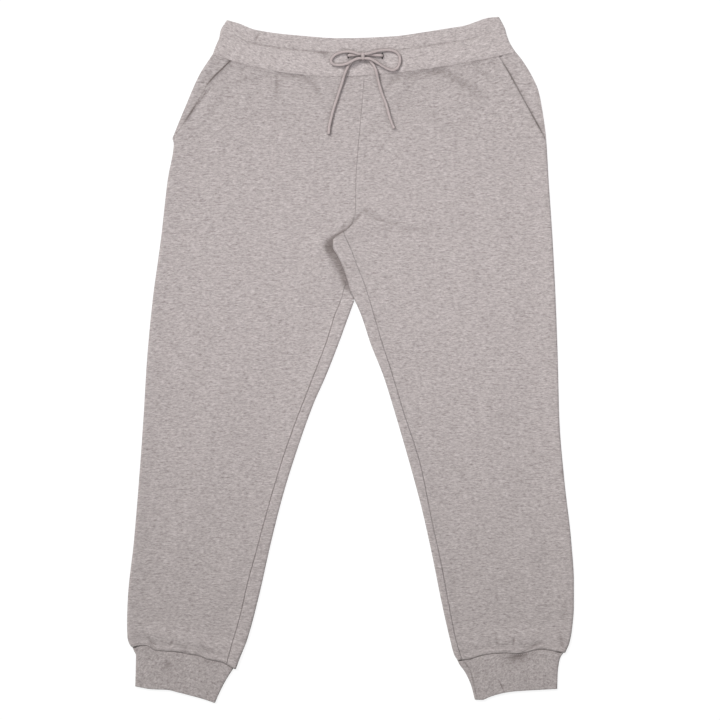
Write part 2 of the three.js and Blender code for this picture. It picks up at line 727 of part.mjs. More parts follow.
// The cuff's own soft waves, strongest at the seam and gone at the hem
function cuffRise(u, v) {
  const sides = smooth(u / 0.1) * smooth((1 - u) / 0.1);
  return CUFF_WAVES.height * sides * Math.sin(Math.PI * CUFF_WAVES.count * u) ** 2 * (1 - v);
}

function cuff(half) {
  const shape = CUFFS[half.name];
  return flatTube({
    first: (x) => cuffSeamY(half, x),
    second: (x) => along(shape.hem, "x", "y", x),
    leftEdge: shape.leftEdge,
    rightEdge: shape.rightEdge,
    levels: CUFF_LEVELS,
    wall: CUFF_WALL,
    radius: CUFF_FOLD_RADIUS,
    frontSteps: CUFF_STEPS,
    backPlaces: backColumns(half, rowLine(half, CUFF_Y)).sort((a, b) => b - a),
    away: -1,
    rise: cuffRise,
  });
}

const BAND_TOP_HEIGHT = BAND_WALL + 2 * BAND_FOLD_RADIUS;
const BOW_X = 18.75;
const BOW_Y = 454.5;
const KNOT = { width: 6.5, length: 13.4, height: 10.8, corner: 3.8 };
const EYELET = { width: 5.4, length: 13.4, slotWidth: 1.8, slotLength: 9, height: 0.9 };
const EYELETS = { right: { x: -3.3, y: 456.3 }, left: { x: 47.7, y: 456 } };
const CORD_CLEARANCE = 0.35;

// Places where the cord runs, each with how far it is held over the cloth.
// The two rows of ends at the knot lie one on the other.
const KNOT_FACE = KNOT.width / 2 + SEAM_GAP;
const CORD_ROUTES = {
  lead_right: table(["x", "y", "over"], [
    [-2.2, 456.4, 1.25], [0.5, 456.5, 1.5], [4, 456.6, 1], [9, 457, 0.3], [12, 457.1, 0.15],
    [BOW_X - KNOT_FACE, 457.1, 0.15],
  ]),
  lead_left: table(["x", "y", "over"], [
    [46.6, 456, 1.25], [43.5, 456.2, 1.5], [38, 456.6, 0.8], [32, 457, 0.3], [26, 457.2, 0.15],
    [BOW_X + KNOT_FACE, 457.2, 0.15],
  ]),
  loop_right: table(["x", "y", "over"], [
    [BOW_X - KNOT_FACE, 457.9, 5.5], [11.7, 458, 5.5], [4, 460.7, 4.7], [-6, 461.8, 2.4],
    [-14.5, 460.6, 0.6], [-22.5, 457.2, 0], [-28, 451.8, 0], [-28.8, 446.6, 0], [-25.5, 443.2, 0],
    [-19, 441.8, 0.4], [-9.5, 442.6, 2.4], [-1, 445.3, 5], [6, 449.2, 5.5], [11.7, 451.3, 5.5],
    [BOW_X - KNOT_FACE, 451.4, 5.5],
  ]),
  loop_left: table(["x", "y", "over"], [
    [BOW_X + KNOT_FACE, 458, 5.5], [25.8, 458.1, 5.5], [33, 460.4, 4.5], [42, 462.8, 2.2],
    [50, 464, 0.6], [58.7, 464.2, 0], [66.8, 462.2, 0], [72.2, 457.5, 0], [74.3, 450.8, 0],
    [73, 442.5, 0], [69, 436.5, 0], [62.7, 434.2, 0], [54.8, 436.6, 0.8], [45, 442, 3],
    [36, 447.6, 5.1], [29.5, 450.6, 5.5], [25.8, 451.3, 5.5], [BOW_X + KNOT_FACE, 451.4, 5.5],
  ]),
  tail_right: table(["x", "y", "over"], [
    [BOW_X - KNOT_FACE, 451.6, 0.15], [11.7, 451.5, 0.15], [6.5, 449.6, 0.1], [1, 445.6, 0],
    [-3.5, 439.5, 0.2], [-8.2, 429.5, 1.4], [-11.3, 419.5, 0.4], [-16.5, 403.5, 0.1], [-21, 389.2, 0],
    [-25.5, 375.8, 0], [-28.8, 363, 0], [-31.6, 351, 0], [-32.7, 339, 0],
  ]),
  tail_left: table(["x", "y", "over"], [
    [BOW_X + KNOT_FACE, 451.6, 0.15], [25.8, 451.3, 0.15], [30.5, 446.8, 0], [35.8, 439.5, 0.1],
    [39, 430.5, 1.1], [41.3, 420, 0.7], [46.8, 400.5, 0.5], [53.3, 384, 0.1], [59.9, 360.6, 0],
    [65.3, 347.3, 0],
  ]),
};
const CORD_STEP = 9;
const CORD_SIDES = 8;

// Height of the cloth's top face, the highest within a cord's width
function clothTop(x, y) {
  const spread = CORD_DIAMETER / 2;
  const near = [[0, 0], [spread, 0], [-spread, 0], [0, spread], [0, -spread]];
  return Math.max(...near.map(([dx, dy]) => {
    if (y + dy > waistY(x + dx) - 1) {
      return BAND_TOP_HEIGHT;
    }
    const half = x + dx < middleX(y + dy) ? RIGHT : LEFT;
    return topHeight(half, x + dx, y + dy) + CLOTH / 2;
  }));
}

function cordPiece(route) {
  const radius = CORD_DIAMETER / 2;
  const points = route.map(({ x, y, over }) => (
    new THREE.Vector3(x, y, clothTop(x, y) + radius + CORD_CLEARANCE + over)
  ));
  const path = new THREE.CatmullRomCurve3(points, false, "centripetal");
  const section = new THREE.Shape();
  for (let k = 0; k < CORD_SIDES; k += 1) {
    const angle = (2 * Math.PI * k) / CORD_SIDES;
    const corner = [radius * Math.cos(angle), radius * Math.sin(angle)];
    if (k === 0) {
      section.moveTo(...corner);
    } else {
      section.lineTo(...corner);
    }
  }
  section.closePath();
  const steps = Math.ceil(path.getLength() / CORD_STEP);
  return new THREE.ExtrudeGeometry(section, { steps, extrudePath: path, bevelEnabled: false });
}

function roundedShape(width, length, corner) {
  const shape = new THREE.Shape();
  const x = width / 2 - corner;
  const y = length / 2 - corner;
  shape.absarc(x, y, corner, 0, quarter);
  shape.absarc(-x, y, corner, quarter, 2 * quarter);
  shape.absarc(-x, -y, corner, 2 * quarter, 3 * quarter);
  shape.absarc(x, -y, corner, 3 * quarter, 4 * quarter);
  shape.closePath();
  return shape;
}

// The turn of cord that holds the bow: a short rounded barrel along X
function bowKnot() {
  const profile = roundedShape(KNOT.height, KNOT.length, KNOT.corner);
  const settings = { depth: KNOT.width, bevelEnabled: false, curveSegments: 3 };
  const geometry = new THREE.ExtrudeGeometry(profile, settings);
  geometry.rotateY(quarter);
  geometry.translate(BOW_X - KNOT.width / 2, BOW_Y, BAND_TOP_HEIGHT + SEAM_GAP + KNOT.height / 2);
  return geometry;
}

// A stitched buttonhole on the band: a low oval around a slot
function eyelet({ x, y }) {
  const profile = roundedShape(EYELET.width, EYELET.length, EYELET.width / 2 - 0.1);
  profile.holes.push(roundedShape(EYELET.slotWidth, EYELET.slotLength, EYELET.slotWidth / 2 - 0.1));
  const settings = { depth: EYELET.height, bevelEnabled: false, curveSegments: 3 };
  const geometry = new THREE.ExtrudeGeometry(profile, settings);
  geometry.translate(x, y, BAND_TOP_HEIGHT + SEAM_GAP);
  return geometry;
}

function piece(name, geometry, colour, roughness) {
  const material = new THREE.MeshStandardMaterial({ color: colour, roughness, metalness: 0 });
  const mesh = new THREE.Mesh(geometry, material);
  mesh.name = name;
  return mesh;
}

const group = new THREE.Group();
group.add(piece("waistband", waistband(), RIB_COLOUR, 0.95));
for (const half of [RIGHT, LEFT]) {
  group.add(piece(`front_${half.name}`, frontPanel(half), CLOTH_COLOUR, 0.95));
  group.add(piece(`back_${half.name}`, backPanel(half), CLOTH_COLOUR, 0.95));
  group.add(piece(`pocket_${half.name}`, pocketFacing(half), CLOTH_COLOUR, 0.95));
  group.add(piece(`cuff_${half.name}`, cuff(half), RIB_COLOUR, 0.95));
}
for (const name of Object.keys(EYELETS)) {
  group.add(piece(`eyelet_${name}`, eyelet(EYELETS[name]), CORD_COLOUR, 0.9));
}
for (const name of Object.keys(CORD_ROUTES)) {
  group.add(piece(name, cordPiece(CORD_ROUTES[name]), CORD_COLOUR, 0.85));
}
group.add(piece("bow_knot", bowKnot(), CORD_COLOUR, 0.85));

export default group;
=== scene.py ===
import math
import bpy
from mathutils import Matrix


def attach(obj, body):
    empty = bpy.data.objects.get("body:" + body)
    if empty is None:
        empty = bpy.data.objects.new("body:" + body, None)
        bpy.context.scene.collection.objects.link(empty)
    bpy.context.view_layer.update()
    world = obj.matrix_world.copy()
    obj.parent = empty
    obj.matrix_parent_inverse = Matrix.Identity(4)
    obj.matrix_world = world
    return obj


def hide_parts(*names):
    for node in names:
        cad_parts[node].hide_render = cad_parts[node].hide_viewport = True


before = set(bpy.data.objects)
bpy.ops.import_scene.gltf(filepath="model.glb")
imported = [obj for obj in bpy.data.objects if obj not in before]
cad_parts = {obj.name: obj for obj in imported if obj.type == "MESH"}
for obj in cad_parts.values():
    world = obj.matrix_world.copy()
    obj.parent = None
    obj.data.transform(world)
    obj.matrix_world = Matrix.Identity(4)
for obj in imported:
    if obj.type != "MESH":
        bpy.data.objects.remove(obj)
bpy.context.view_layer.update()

from types import SimpleNamespace

import bpy
import numpy as np
from bpy.props import FloatProperty, FloatVectorProperty, IntProperty, PointerProperty
from mathutils import Vector

bl_info = {
    "name": "Jogger Sweatpants Laid Flat",
    "version": (1, 0, 0),
    "blender": (4, 5, 0),
    "location": "3D View > Sidebar > Joggers",
    "description": "Builds heather fleece joggers, laid flat, around their fixed frame",
    "category": "Add Mesh",
}

# The garment's own numbers are in millimetres. X runs to the wearer's left, Y to
# the waist and Z up. Meshes are scaled to metres when they are made.
MM = 0.001

# Cloth, seams and rolled edges
CLOTH = 2.0
FACING_CLOTH = 1.6
BAND_WALL = 3.0
CUFF_WALL = 2.5
SEAM_GAP = 0.3
SEWN_GAP = 0.06
CENTRE_GAP = 0.16
EDGE_CLEARANCE = 0.04
EDGE_SPREAD = 8.0
FOLD_RADIUS = 2.5
BAND_FOLD_RADIUS = 1.9
CUFF_FOLD_RADIUS = 1.75
ROLL_REACH = FOLD_RADIUS + CLOTH / 2
SEAM_ANGLE = SEAM_GAP / 2 / (FOLD_RADIUS - CLOTH / 2)
QUARTER = math.pi / 2

# Heights of the table of rows: where the fronts, pockets and legs begin and end
WAIST_Y = 426.3
POCKET_FOOT_Y = 331.5
PLEAT_TOP_Y = 223.5
LEFT_TONGUE_Y = 191.25
RIGHT_TONGUE_Y = 118.5
APEX_Y = 89.25
CUFF_Y = -445.0
CUFF_BEND_Y = -340.0

# Middle surface of the cloth on top: in open cloth, at a rolled edge, over a pocket's
# facing and around the pleat
BASE_HEIGHT = 3.6
LEAST_HEIGHT = 3.35
LOFT = 2.4
LOFT_SPREAD = 14.0
POCKET_TUCK = 12.0
FACING_LIFT = 0.85
FACING_SEAM = SimpleNamespace(height=5.6, spread=8.0, reach=7.0)
POCKET_EDGE = SimpleNamespace(at_waist=5.6, at_foot=4.2)
POCKET_SPREAD = 9.0
POCKET_HOLD = 22.0
POCKET_FADE = 14.0
PLEAT_TUCK = 2.0
PLEAT_SPREAD = 34.0
VALLEY_WIDTH = 15.0
VALLEY_ENDS = SimpleNamespace(at_apex=24, at_top=34, fade=130)

# Steps of the grids, in millimetres unless they are counts
EDGE_STEPS = np.array([0.0, 0.3, 0.7, 1.2, 1.9])
EDGE_ROUND = 1.3
CUFF_SEAM_ROUND = 1.6
WAIST_SEAM_ROUND = 0.6
SLIT_ROUND = 1.7
INSEAM_ROUND = SimpleNamespace(crotch=0.55, leg=1.15, leg_y=110, change=60)
FAR = 99.0
PANEL_STEP = 2.7
BACK_COLUMNS = 18
STRIP_PLACES = np.concatenate([np.linspace(0, 1, 10)[1:-1] * 0.8, [0.88, 0.94, 0.98, 1.0]])
FACING_COLUMNS = 20
FACING_CROWDING = 1.6
TUCK_COLUMNS = 5
ROLL_STEPS = 7
TUBE_BACK_COLUMNS = 30
BAND_STEPS = SimpleNamespace(round=300, along=20)
CUFF_STEPS = SimpleNamespace(round=380, along=24)


def table(names, rows):
    """Rows of a short table as a list of records with named columns."""
    return [SimpleNamespace(**dict(zip(names.split(), row))) for row in rows]


def mix(a, b, t):
    return a + (b - a) * t


def clamp01(t):
    return np.clip(t, 0.0, 1.0)


def smooth(t):
    t = clamp01(t)
    return t * t * (3 - 2 * t)


def bell(t):
    return np.exp(-np.square(t))


class Curve:
    """A smooth line through a few (key, value) points that never swings past them."""

    def __init__(self, points):
        self.keys, self.values = np.array(sorted(points), float).T
        rise = np.diff(self.values) / np.diff(self.keys)
        before, after = rise[:-1], rise[1:]
        total = np.where(before * after > 0, before + after, 1.0)
        inner = np.where(before * after > 0, 2 * before * after / total, 0.0)
        self.slopes = np.concatenate([rise[:1], inner, rise[-1:]])

    def __call__(self, at):
        at = np.clip(at, self.keys[0], self.keys[-1])
        k = np.clip(np.searchsorted(self.keys, at, side="right") - 1, 0, len(self.keys) - 2)
        span = self.keys[k + 1] - self.keys[k]
        t = (at - self.keys[k]) / span
        return (
            self.values[k] * (1 + 2 * t) * (1 - t) ** 2
            + self.values[k + 1] * t * t * (3 - 2 * t)
            + self.slopes[k] * span * t * (1 - t) ** 2
            + self.slopes[k + 1] * span * t * t * (t - 1)
        )


# Outlines of each half as x at a height y: the outer edge, the inner edge of
# the leg, the inseam that shows on top and the pocket slit. slit_lift says how
# far the slit stands open at a height y.
RIGHT = SimpleNamespace(
    name="right",
    side=-1,
    waist_rise=32,
    waist_bow=12.5,
    cuff_outer_rise=14.5,
    cuff_inner_rise=-19.25,
    cuff_bow=11,
    tongue_top=RIGHT_TONGUE_Y,
    outer=Curve([
        (458.3, -207), (427, -227), (382, -246.8), (340, -264), (331.5, -267), (326, -265.2),
        (270, -274.3), (180, -284.6), (90, -296.8), (0, -305.3), (-90, -310.8), (-180, -317.3),
        (-270, -324.8), (-360, -334.2), (-395, -335.2), (-415, -334.6), (-424, -332.4), (-431, -328.2),
    ]),
    inner=Curve([
        (89.25, 6), (67.5, -2), (22.5, -18.5), (-22.5, -36.2), (-67.5, -56), (-135, -80),
        (-202.5, -101), (-270, -118.2), (-360, -138.6), (-420, -154.8), (-447, -165.4), (-464.3, -171.8),
    ]),
    inseam=Curve([
        (118.5, -6), (105.75, -9.75), (89.25, -14.5), (67.5, -23.3), (31.5, -34.5), (-3, -47.3),
        (-49.5, -65.3), (-96, -83.3), (-142.5, -99.8), (-228, -125.3), (-297, -143.9),
        (-334.5, -154.2), (-379.5, -164.3), (-441.5, -181.8), (-464, -187),
    ]),
    pocket=Curve([(453, -175.5), (414, -213.8), (390, -227.3), (366, -242.5), (331.5, -265.5)]),
    slit_lift=Curve([
        (331.5, 0), (343, 0.05), (350, 0.14), (357, 0.42), (366, 0.78), (371, 0.92), (380, 0.62),
        (388, 0.42), (394, 0.16), (407, 0.16), (414, 0.55), (420, 0.9), (430, 1), (453, 0.9),
    ]),
)
LEFT = SimpleNamespace(
    name="left",
    side=1,
    waist_rise=35,
    waist_bow=4.5,
    cuff_outer_rise=5.5,
    cuff_inner_rise=-5.75,
    cuff_bow=6.5,
    tongue_top=LEFT_TONGUE_Y,
    outer=Curve([
        (461.3, 248.3), (450, 257.3), (427, 271.5), (405, 281.5), (382, 286.5), (331.5, 293.5),
        (270, 297.2), (180, 303.2), (90, 307.8), (0, 311), (-90, 313.4), (-180, 320.8),
        (-270, 331), (-335, 335.2), (-368, 335.2), (-405, 332.2), (-425, 328.2), (-439.5, 322),
    ]),
    inner=Curve([
        (89.25, 6.3), (67.5, 15.8), (22.5, 30.8), (-22.5, 48.8), (-90, 69.8), (-157.5, 89.3),
        (-225, 107.3), (-292.5, 122.3), (-360, 135.8), (-420, 149.3), (-442, 155.3), (-450.8, 160.5),
    ]),
    inseam=Curve([
        (191.25, -10.35), (186, -8.55), (180, -5.4), (171, -1.05), (156, 4.8), (144, 9.2),
        (132, 13.8), (118.5, 19.35), (105.75, 23.7), (89.25, 29), (31.5, 45.8), (-19.5, 62.3),
        (-75, 78.8), (-154.5, 104.3), (-241.5, 122.3), (-307.5, 136.5), (-391.5, 152.3),
        (-420, 158.3), (-446.4, 166.5),
    ]),
    pocket=Curve([(455.3, 223.5), (444, 230.3), (406.5, 251.3), (357, 278.3), (331.5, 292.5)]),
    slit_lift=Curve([
        (331.5, 0.05), (340, 0.42), (354, 0.76), (366, 0.66), (390, 0.36), (402, 0.48), (425, 0.66),
        (438, 0.5), (447, 0.24), (455, 0.08),
    ]),
)

HALVES = (RIGHT, LEFT)

# The line where the two fronts meet: the centre front seam, then the edge of
# the pleat, which carries the left side over the right. Lift is the height
# of the pleat's edge above open cloth.
MIDDLE = table("y x lift", [
    (426.3, 21, 0), (382.5, 17.3, 0), (333, 12.8, 0), (270, 8.3, 0), (223.5, 7.5, 0.3),
    (207, 3.5, 1.6), (199.5, -0.8, 2.6), (191.25, -11.85, 3.6), (186, -20.25, 4.1),
    (180, -26.5, 4.3), (171, -26.9, 4.3), (156, -19.5, 4.2), (144, -13.5, 4), (132, -8.9, 3.8),
    (118.5, -4.65, 3.4), (105.75, -1.5, 2.9), (89.25, 6.15, 2.4),
])
middle_x = Curve([(row.y, row.x) for row in MIDDLE])
middle_lift = Curve([(row.y, row.lift) for row in MIDDLE])

# Soft folds on the fronts, as ridges or troughs with half sizes along and across
FOLDS = table("x y turn long wide height", [
    (-46, 412, -44, 24, 7, 1.1),
    (-46, 388, 33, 18, 7, 0.8),
    (-110, 400, 85, 16, 5, 0.6),
    (-44, 146, -71, 46, 11, 2.6),
    (-95, 200, -40, 60, 16, 0.9),
    (77, 424, 27, 26, 8, 1.1),
    (164, 420, -39, 26, 7, 1.1),
    (196, 433, -28, 24, 7, 1),
    (60, 190, -24, 60, 14, 1.1),
    (120, 250, -30, 80, 20, 0.7),
    (-215, 120, 82, 130, 24, 0.8),
    (-205, -120, 78, 170, 24, 1.3),
    (-262, -300, 84, 90, 16, 1),
    (-185, -330, 72, 80, 15, 1.1),
    (225, 90, -86, 140, 24, 0.9),
    (215, -130, -80, 170, 24, 1.2),
    (275, -300, -84, 90, 16, 1.1),
    (190, -340, -74, 80, 15, 0.9),
])

# Small creases, dimples and puckers on the fronts. Shade says how much painted shade
# darkens a crease's trough.
CREASES = table("x y turn long wide height shade", [
    (93, 425, 12, 14, 5, -1.3, 0.2),
    (126, 431, 12, 14, 5, -1.2, 0.24),
    (163, 418, -32, 34, 5.5, -1.7, 0.3),
    (66, 420, 36, 16, 5, -1.3, 0.18),
    (78, 408, 36, 26, 6, 1.7, 0),
    (128, 419, 20, 20, 8, 1.1, 0),
    (197, 431, -34, 20, 4, -0.6, 0.15),
    (-110.7, 414, 90, 12, 1.9, -1.6, 0.42),
    (-90, 426, -6, 18, 4, -1.0, 0.16),
    (-65, 420.5, -28, 11, 4, -1.1, 0.16),
    (-50, 404, -62, 16, 4.5, -1.4, 0.18),
    (-33, 406, -70, 19, 6, 1.3, 0),
    (-150, 421, 12, 22, 4, -0.6, 0.15),
    (-128, 365, -3, 60, 8, -0.9, 0.06),
    (72, 374, 42, 40, 9, -0.9, 0.05),
    (150, 352, -24, 50, 10, -0.8, 0.04),
    (10, 213, 49, 16, 2.6, -1.5, 0.4),
    (28, 220, -41, 11, 3, -0.8, 0.22),
    (-14, 193, 44, 17, 4.5, 0, 0.26),
    (44, 211, -12, 12, 3.5, -0.7, 0.18),
    (68, 202, -22, 20, 4, -0.6, 0.14),
    (100, 195, -2, 20, 4, -0.5, 0.12),
    (46, 195, 0, 15, 5, -0.5, 0.12),
    (-299, -424, -61, 9, 3.2, -1.2, 0.26),
    (-270, -427, 50, 5, 2, -0.7, 0.24),
    (-253, -424.5, 0, 10, 8, 1.1, 0),
    (-226, -428.5, -20, 10, 7, 1.0, 0),
    (-290, -413, 0, 9, 8, 0.7, 0),
    (-212, -437, -24, 12, 3, -0.6, 0.15),
    (220, -423, -76, 10, 2.6, -0.8, 0.25),
    (245, -421, 90, 6, 1.8, -1.0, 0.35),
    (241, -418.5, 90, 7, 2, 0.7, 0),
    (227, -424.5, 20, 7, 5, 0.7, 0),
    (275, -429, 27, 12, 3, -1.1, 0.35),
    (298, -424.5, -10, 11, 7, 1.0, 0),
    (321, -376, 86, 15, 3, -0.7, 0.2),
    (316.5, -421, 95, 12, 3, -0.8, 0.25),
    (-217.5, 399, 52, 18, 1.7, -0.9, 0.42),
])

# The same for the cuffs, with the closing seam of the left one
CUFF_CREASES = table("x y turn long wide height shade", [
    (250, -448, 6, 15, 8, -1.1, 0.32),
    (252, -443.5, 8, 17, 3.2, -0.4, 0.35),
    (-272.4, -459, 60, 7, 6, -0.6, 0.2),
    (-276.5, -451, -65, 9, 4, -0.5, 0.18),
    (-214, -453, -20, 13, 4, -0.5, 0.15),
    (174, -457, -52, 8.5, 1.1, -0.7, 0.4),
    (182.5, -475, -73, 12, 1.1, -0.7, 0.4),
    (187.3, -496, -76, 11, 1.1, -0.7, 0.35),
    (227, -489.5, -66, 7.5, 0.9, -0.9, 0.6),
])

# And for the band: two short creases at its top, a patch of painted shade by the bow and
# the painted shade in the two corners under the knot
BAND_CREASES = table("x y turn long wide height shade", [
    (-140, 484, 68, 8, 2, -0.9, 0.35),
    (158, 488, 88, 7, 1.8, -0.6, 0.2),
    (-38, 458.5, -20, 9, 3.5, 0, 0.3),
    (14.4, 447.8, 0, 2.0, 1.8, 0, 0.75),
    (22.6, 447.8, 0, 2.0, 1.8, 0, 0.75),
])

# How far each cuff seam strays from its even line, as the offset of y at x
SEAM_STRAY = {
    "right": Curve([
        (-326, 0), (-309, 1.6), (-303, 0.4), (-295, -4), (-289, -5.4), (-276, -5.2), (-262, -3.6),
        (-247, -3.7), (-228, -1.8), (-217, -2.9), (-203, -0.9), (-189, 1), (-174, 0),
    ]),
    "left": Curve([
        (160, 0), (166, -0.6), (179, -2), (194, 0.1), (212, 0.6), (233, -0.6), (248, -2.4),
        (260, -2.2), (272, 1), (284, 3), (302, 2), (314, 0.7), (319.5, 0),
    ]),
}
STRAY_REACH = 45.0

# Painted shade under the waist seam and along the channel's groove, at x. Then the valley
# beside the pleat, at y: its width, its painted shade and how far the cloth beyond it rises
under_seam_shade = Curve([
    (-205, 0.02), (-173, 0.1), (-116, 0.12), (-105, 0.16), (-75, 0.16), (-60, 0.08), (-40, 0.02),
    (50, 0.02), (62, 0.1), (80, 0.2), (104, 0.24), (112, 0.18), (125, 0.24), (140, 0.2), (150, 0.12),
    (200, 0.16), (216, 0.08), (226, 0),
])
channel_shade = Curve([
    (-196, 0), (-168, 0.1), (-156, 0.3), (-140, 0.3), (-110, 0.2), (-60, 0.25), (-35, 0.3), (-22, 0.05),
    (60, 0), (78, 0.18), (110, 0.22), (150, 0.18), (190, 0.1), (220, 0),
])
valley_width = Curve([
    (89, 1), (95, 2.5), (108, 8), (129, 11), (151, 13), (168, 12), (180, 9), (190, 6), (205, 2),
])
valley_shade = Curve([
    (89, 0.1), (100, 0.25), (110, 0.42), (129, 0.5), (151, 0.5), (168, 0.6), (178, 0.52), (188, 0.34),
    (200, 0.24), (210, 0),
])
valley_rise = Curve([
    (92, 0), (105, 0.8), (120, 1.6), (140, 2.3), (160, 2.6), (172, 2.4), (184, 1.3), (200, 0),
])

# Painted shade of a pocket slit on each side of it, and of the valley: darker beside the
# pleat's edge, soft at its far side, and pinched in one place
SLIT_SHADE = SimpleNamespace(strength=0.84, slant=0.8, on_facing=1.6, on_front=1.7)
VALLEY_TOP_Y = 212
VALLEY_SOFTNESS = 9.0
PLEAT_SHADE = SimpleNamespace(least=0.84, more=0.3, centre=1.5, spread=5.0)
PINCH = SimpleNamespace(shade=0.16, y=171, along=13, centre=10.5, across=3.5)

# Gathers as waves along x that fade with distance from a seam, and the soft
# roll of cloth that stands over each cuff
WAIST_GATHERS = SimpleNamespace(pitch=4.0, sway=0.6, sway_pitch=31, height=0.7, reach=16)
CUFF_GATHERS = SimpleNamespace(pitch=4.8, sway=0.8, sway_pitch=19, height=1.3, reach=15)
BLOUSE = SimpleNamespace(height=1.8, centre=20, spread=13)
SEAM_ROLL = SimpleNamespace(height=1.5, centre=4.0, spread=3.4)

# Finer relief: the waist seam's pucker and the roll beside it, the small tucks over
# each cuff, the lifted edge of a pocket slit, and the cloth beyond the valley
WAIST_PUCKER = SimpleNamespace(height=0.22, on_band=0.12, reach=6.0, band_reach=5.0)
WAIST_ROLL = SimpleNamespace(height=0.9, spread=3.2)
CUFF_TUCK = SimpleNamespace(height=0.3, reach=7.0)
SLIT_FOLD = SimpleNamespace(height=1.6, spread=5.0, foot=20)
VALLEY_RISE = SimpleNamespace(centre=19, spread=8.5)
# Slow waves fade out near the sides, and under the bow
SIDE_CALM = 40.0
BOW_CALM = SimpleNamespace(above=330, x=20, near=12, spread=40)

# Slow waves that keep open cloth from lying dead flat: length, direction, start
RIPPLES = table("length turn start height", [
    (61, 12, 0.4, 0.16), (47, 74, 2.1, 0.13), (83, -38, 4.0, 0.2), (35, 31, 1.2, 0.07),
    (29, -64, 5.3, 0.06), (118, 58, 3.3, 0.26),
])


def back_seam_x(y):
    return mix(6.15, 21, (y - APEX_Y) / (WAIST_Y - APEX_Y))


def row_line(half, y):
    """The places of rows at heights y: they bow at the waist and follow the cuff seam at the foot."""
    y = np.asarray(y, float)
    waist = clamp01((y - POCKET_FOOT_Y) / (WAIST_Y - POCKET_FOOT_Y))
    cuff = clamp01((CUFF_BEND_Y - y) / (CUFF_BEND_Y - CUFF_Y)) ** 2
    outer_y = y + half.waist_rise * waist + half.cuff_outer_rise * cuff
    inner_y = y + half.cuff_inner_rise * cuff
    outer = half.outer(outer_y)
    inner = np.where(y > APEX_Y, back_seam_x(y), half.inner(inner_y))
    bow = half.cuff_bow * cuff - half.waist_bow * waist**1.5
    return SimpleNamespace(
        name=half.name, y=y, outer=outer, inner=inner, outer_y=outer_y, inner_y=inner_y, bow=bow
    )


def row_height(line, x):
    """Height y on rows at places x."""
    u = clamp01((x - line.outer) / (line.inner - line.outer))
    return mix(line.outer_y, line.inner_y, u) + 4 * u * (1 - u) * line.bow


def meet(line, curve):
    """Where rows cross a curve that gives x at y."""
    x = curve(line.y)
    for _ in range(6):
        x = curve(row_height(line, x))
    return x


def seam_clearance(from_edge):
    """Half the gap at a sewn seam, and a little more at a rolled edge."""
    return SEWN_GAP / 2 + EDGE_CLEARANCE * (1 - smooth(from_edge / EDGE_SPREAD))


def clear_height(line, x):
    """Height of rows that stay just clear of the waist and cuff seams, more so at rolled edges."""
    away = np.where(line.y == WAIST_Y, -1.0, np.where(line.y == CUFF_Y, 1.0, 0.0))
    from_edge = np.minimum(np.abs(x - line.outer), np.abs(x - line.inner))
    stray = SEAM_STRAY[line.name](x) * smooth(1 - (line.y - CUFF_Y) / STRAY_REACH)
    clear = away * seam_clearance(from_edge)
    return row_height(line, x) + clear + stray


WAIST_LINE = {half.name: row_line(half, WAIST_Y) for half in HALVES}
CUFF_LINE = {half.name: row_line(half, CUFF_Y) for half in HALVES}


def cuff_seam_y(half, x):
    return row_height(CUFF_LINE[half.name], x) + SEAM_STRAY[half.name](x)


def ridges(rows, x, y, measure="height"):
    """Summed height, or shade, of the folds or creases in a table."""
    total = np.zeros(np.broadcast(x, y).shape)
    for fold in rows:
        turn = math.radians(fold.turn)
        dx, dy = x - fold.x, y - fold.y
        lengthwise = (dx * math.cos(turn) + dy * math.sin(turn)) / fold.long
        across = (dy * math.cos(turn) - dx * math.sin(turn)) / fold.wide
        total = total + getattr(fold, measure) * bell(lengthwise) * bell(across)
    return total


def gather_height(gathers, x, distance):
    sway = gathers.sway * np.sin(x / gathers.sway_pitch)
    wave = 0.5 + 0.5 * np.sin(x / gathers.pitch + sway)
    return gathers.height * wave * np.exp(-np.maximum(0, distance) / gathers.reach)


def ripple_height(x, y):
    height = 0.0
    for wave in RIPPLES:
        turn = math.radians(wave.turn)
        phase = (x * math.cos(turn) + y * math.sin(turn)) * 2 * math.pi / wave.length
        height = height + wave.height * np.sin(phase + wave.start)
    return height


def facing_height(half, x, y):
    """Middle surface of the pocket facing, which rises to the band where it is sewn to it."""
    waist_seam = row_height(WAIST_LINE[half.name], x)
    fall = clamp01((waist_seam - y) / (WAIST_Y - POCKET_FOOT_Y))
    edge = mix(POCKET_EDGE.at_waist, POCKET_EDGE.at_foot, smooth(fall * 1.4))
    flat = CLOTH + SEAM_GAP + FACING_CLOTH / 2
    inward = np.abs(x - half.outer(y)) - FOLD_RADIUS - FACING_CLOTH / 2
    height = mix(flat, edge, bell(np.maximum(0, inward) / POCKET_SPREAD))
    past_slit = np.abs(x) - np.abs(half.pocket(y))
    sewn = smooth(past_slit / FACING_SEAM.spread)
    sewn = sewn * np.exp(-np.maximum(0, waist_seam - y) / FACING_SEAM.reach)
    return height + sewn * np.maximum(0, FACING_SEAM.height - height)


def rolled_loft(distance):
    past = np.maximum(0, distance - ROLL_REACH)
    return LOFT * np.exp(-(past**2) / (2 * LOFT_SPREAD**2))


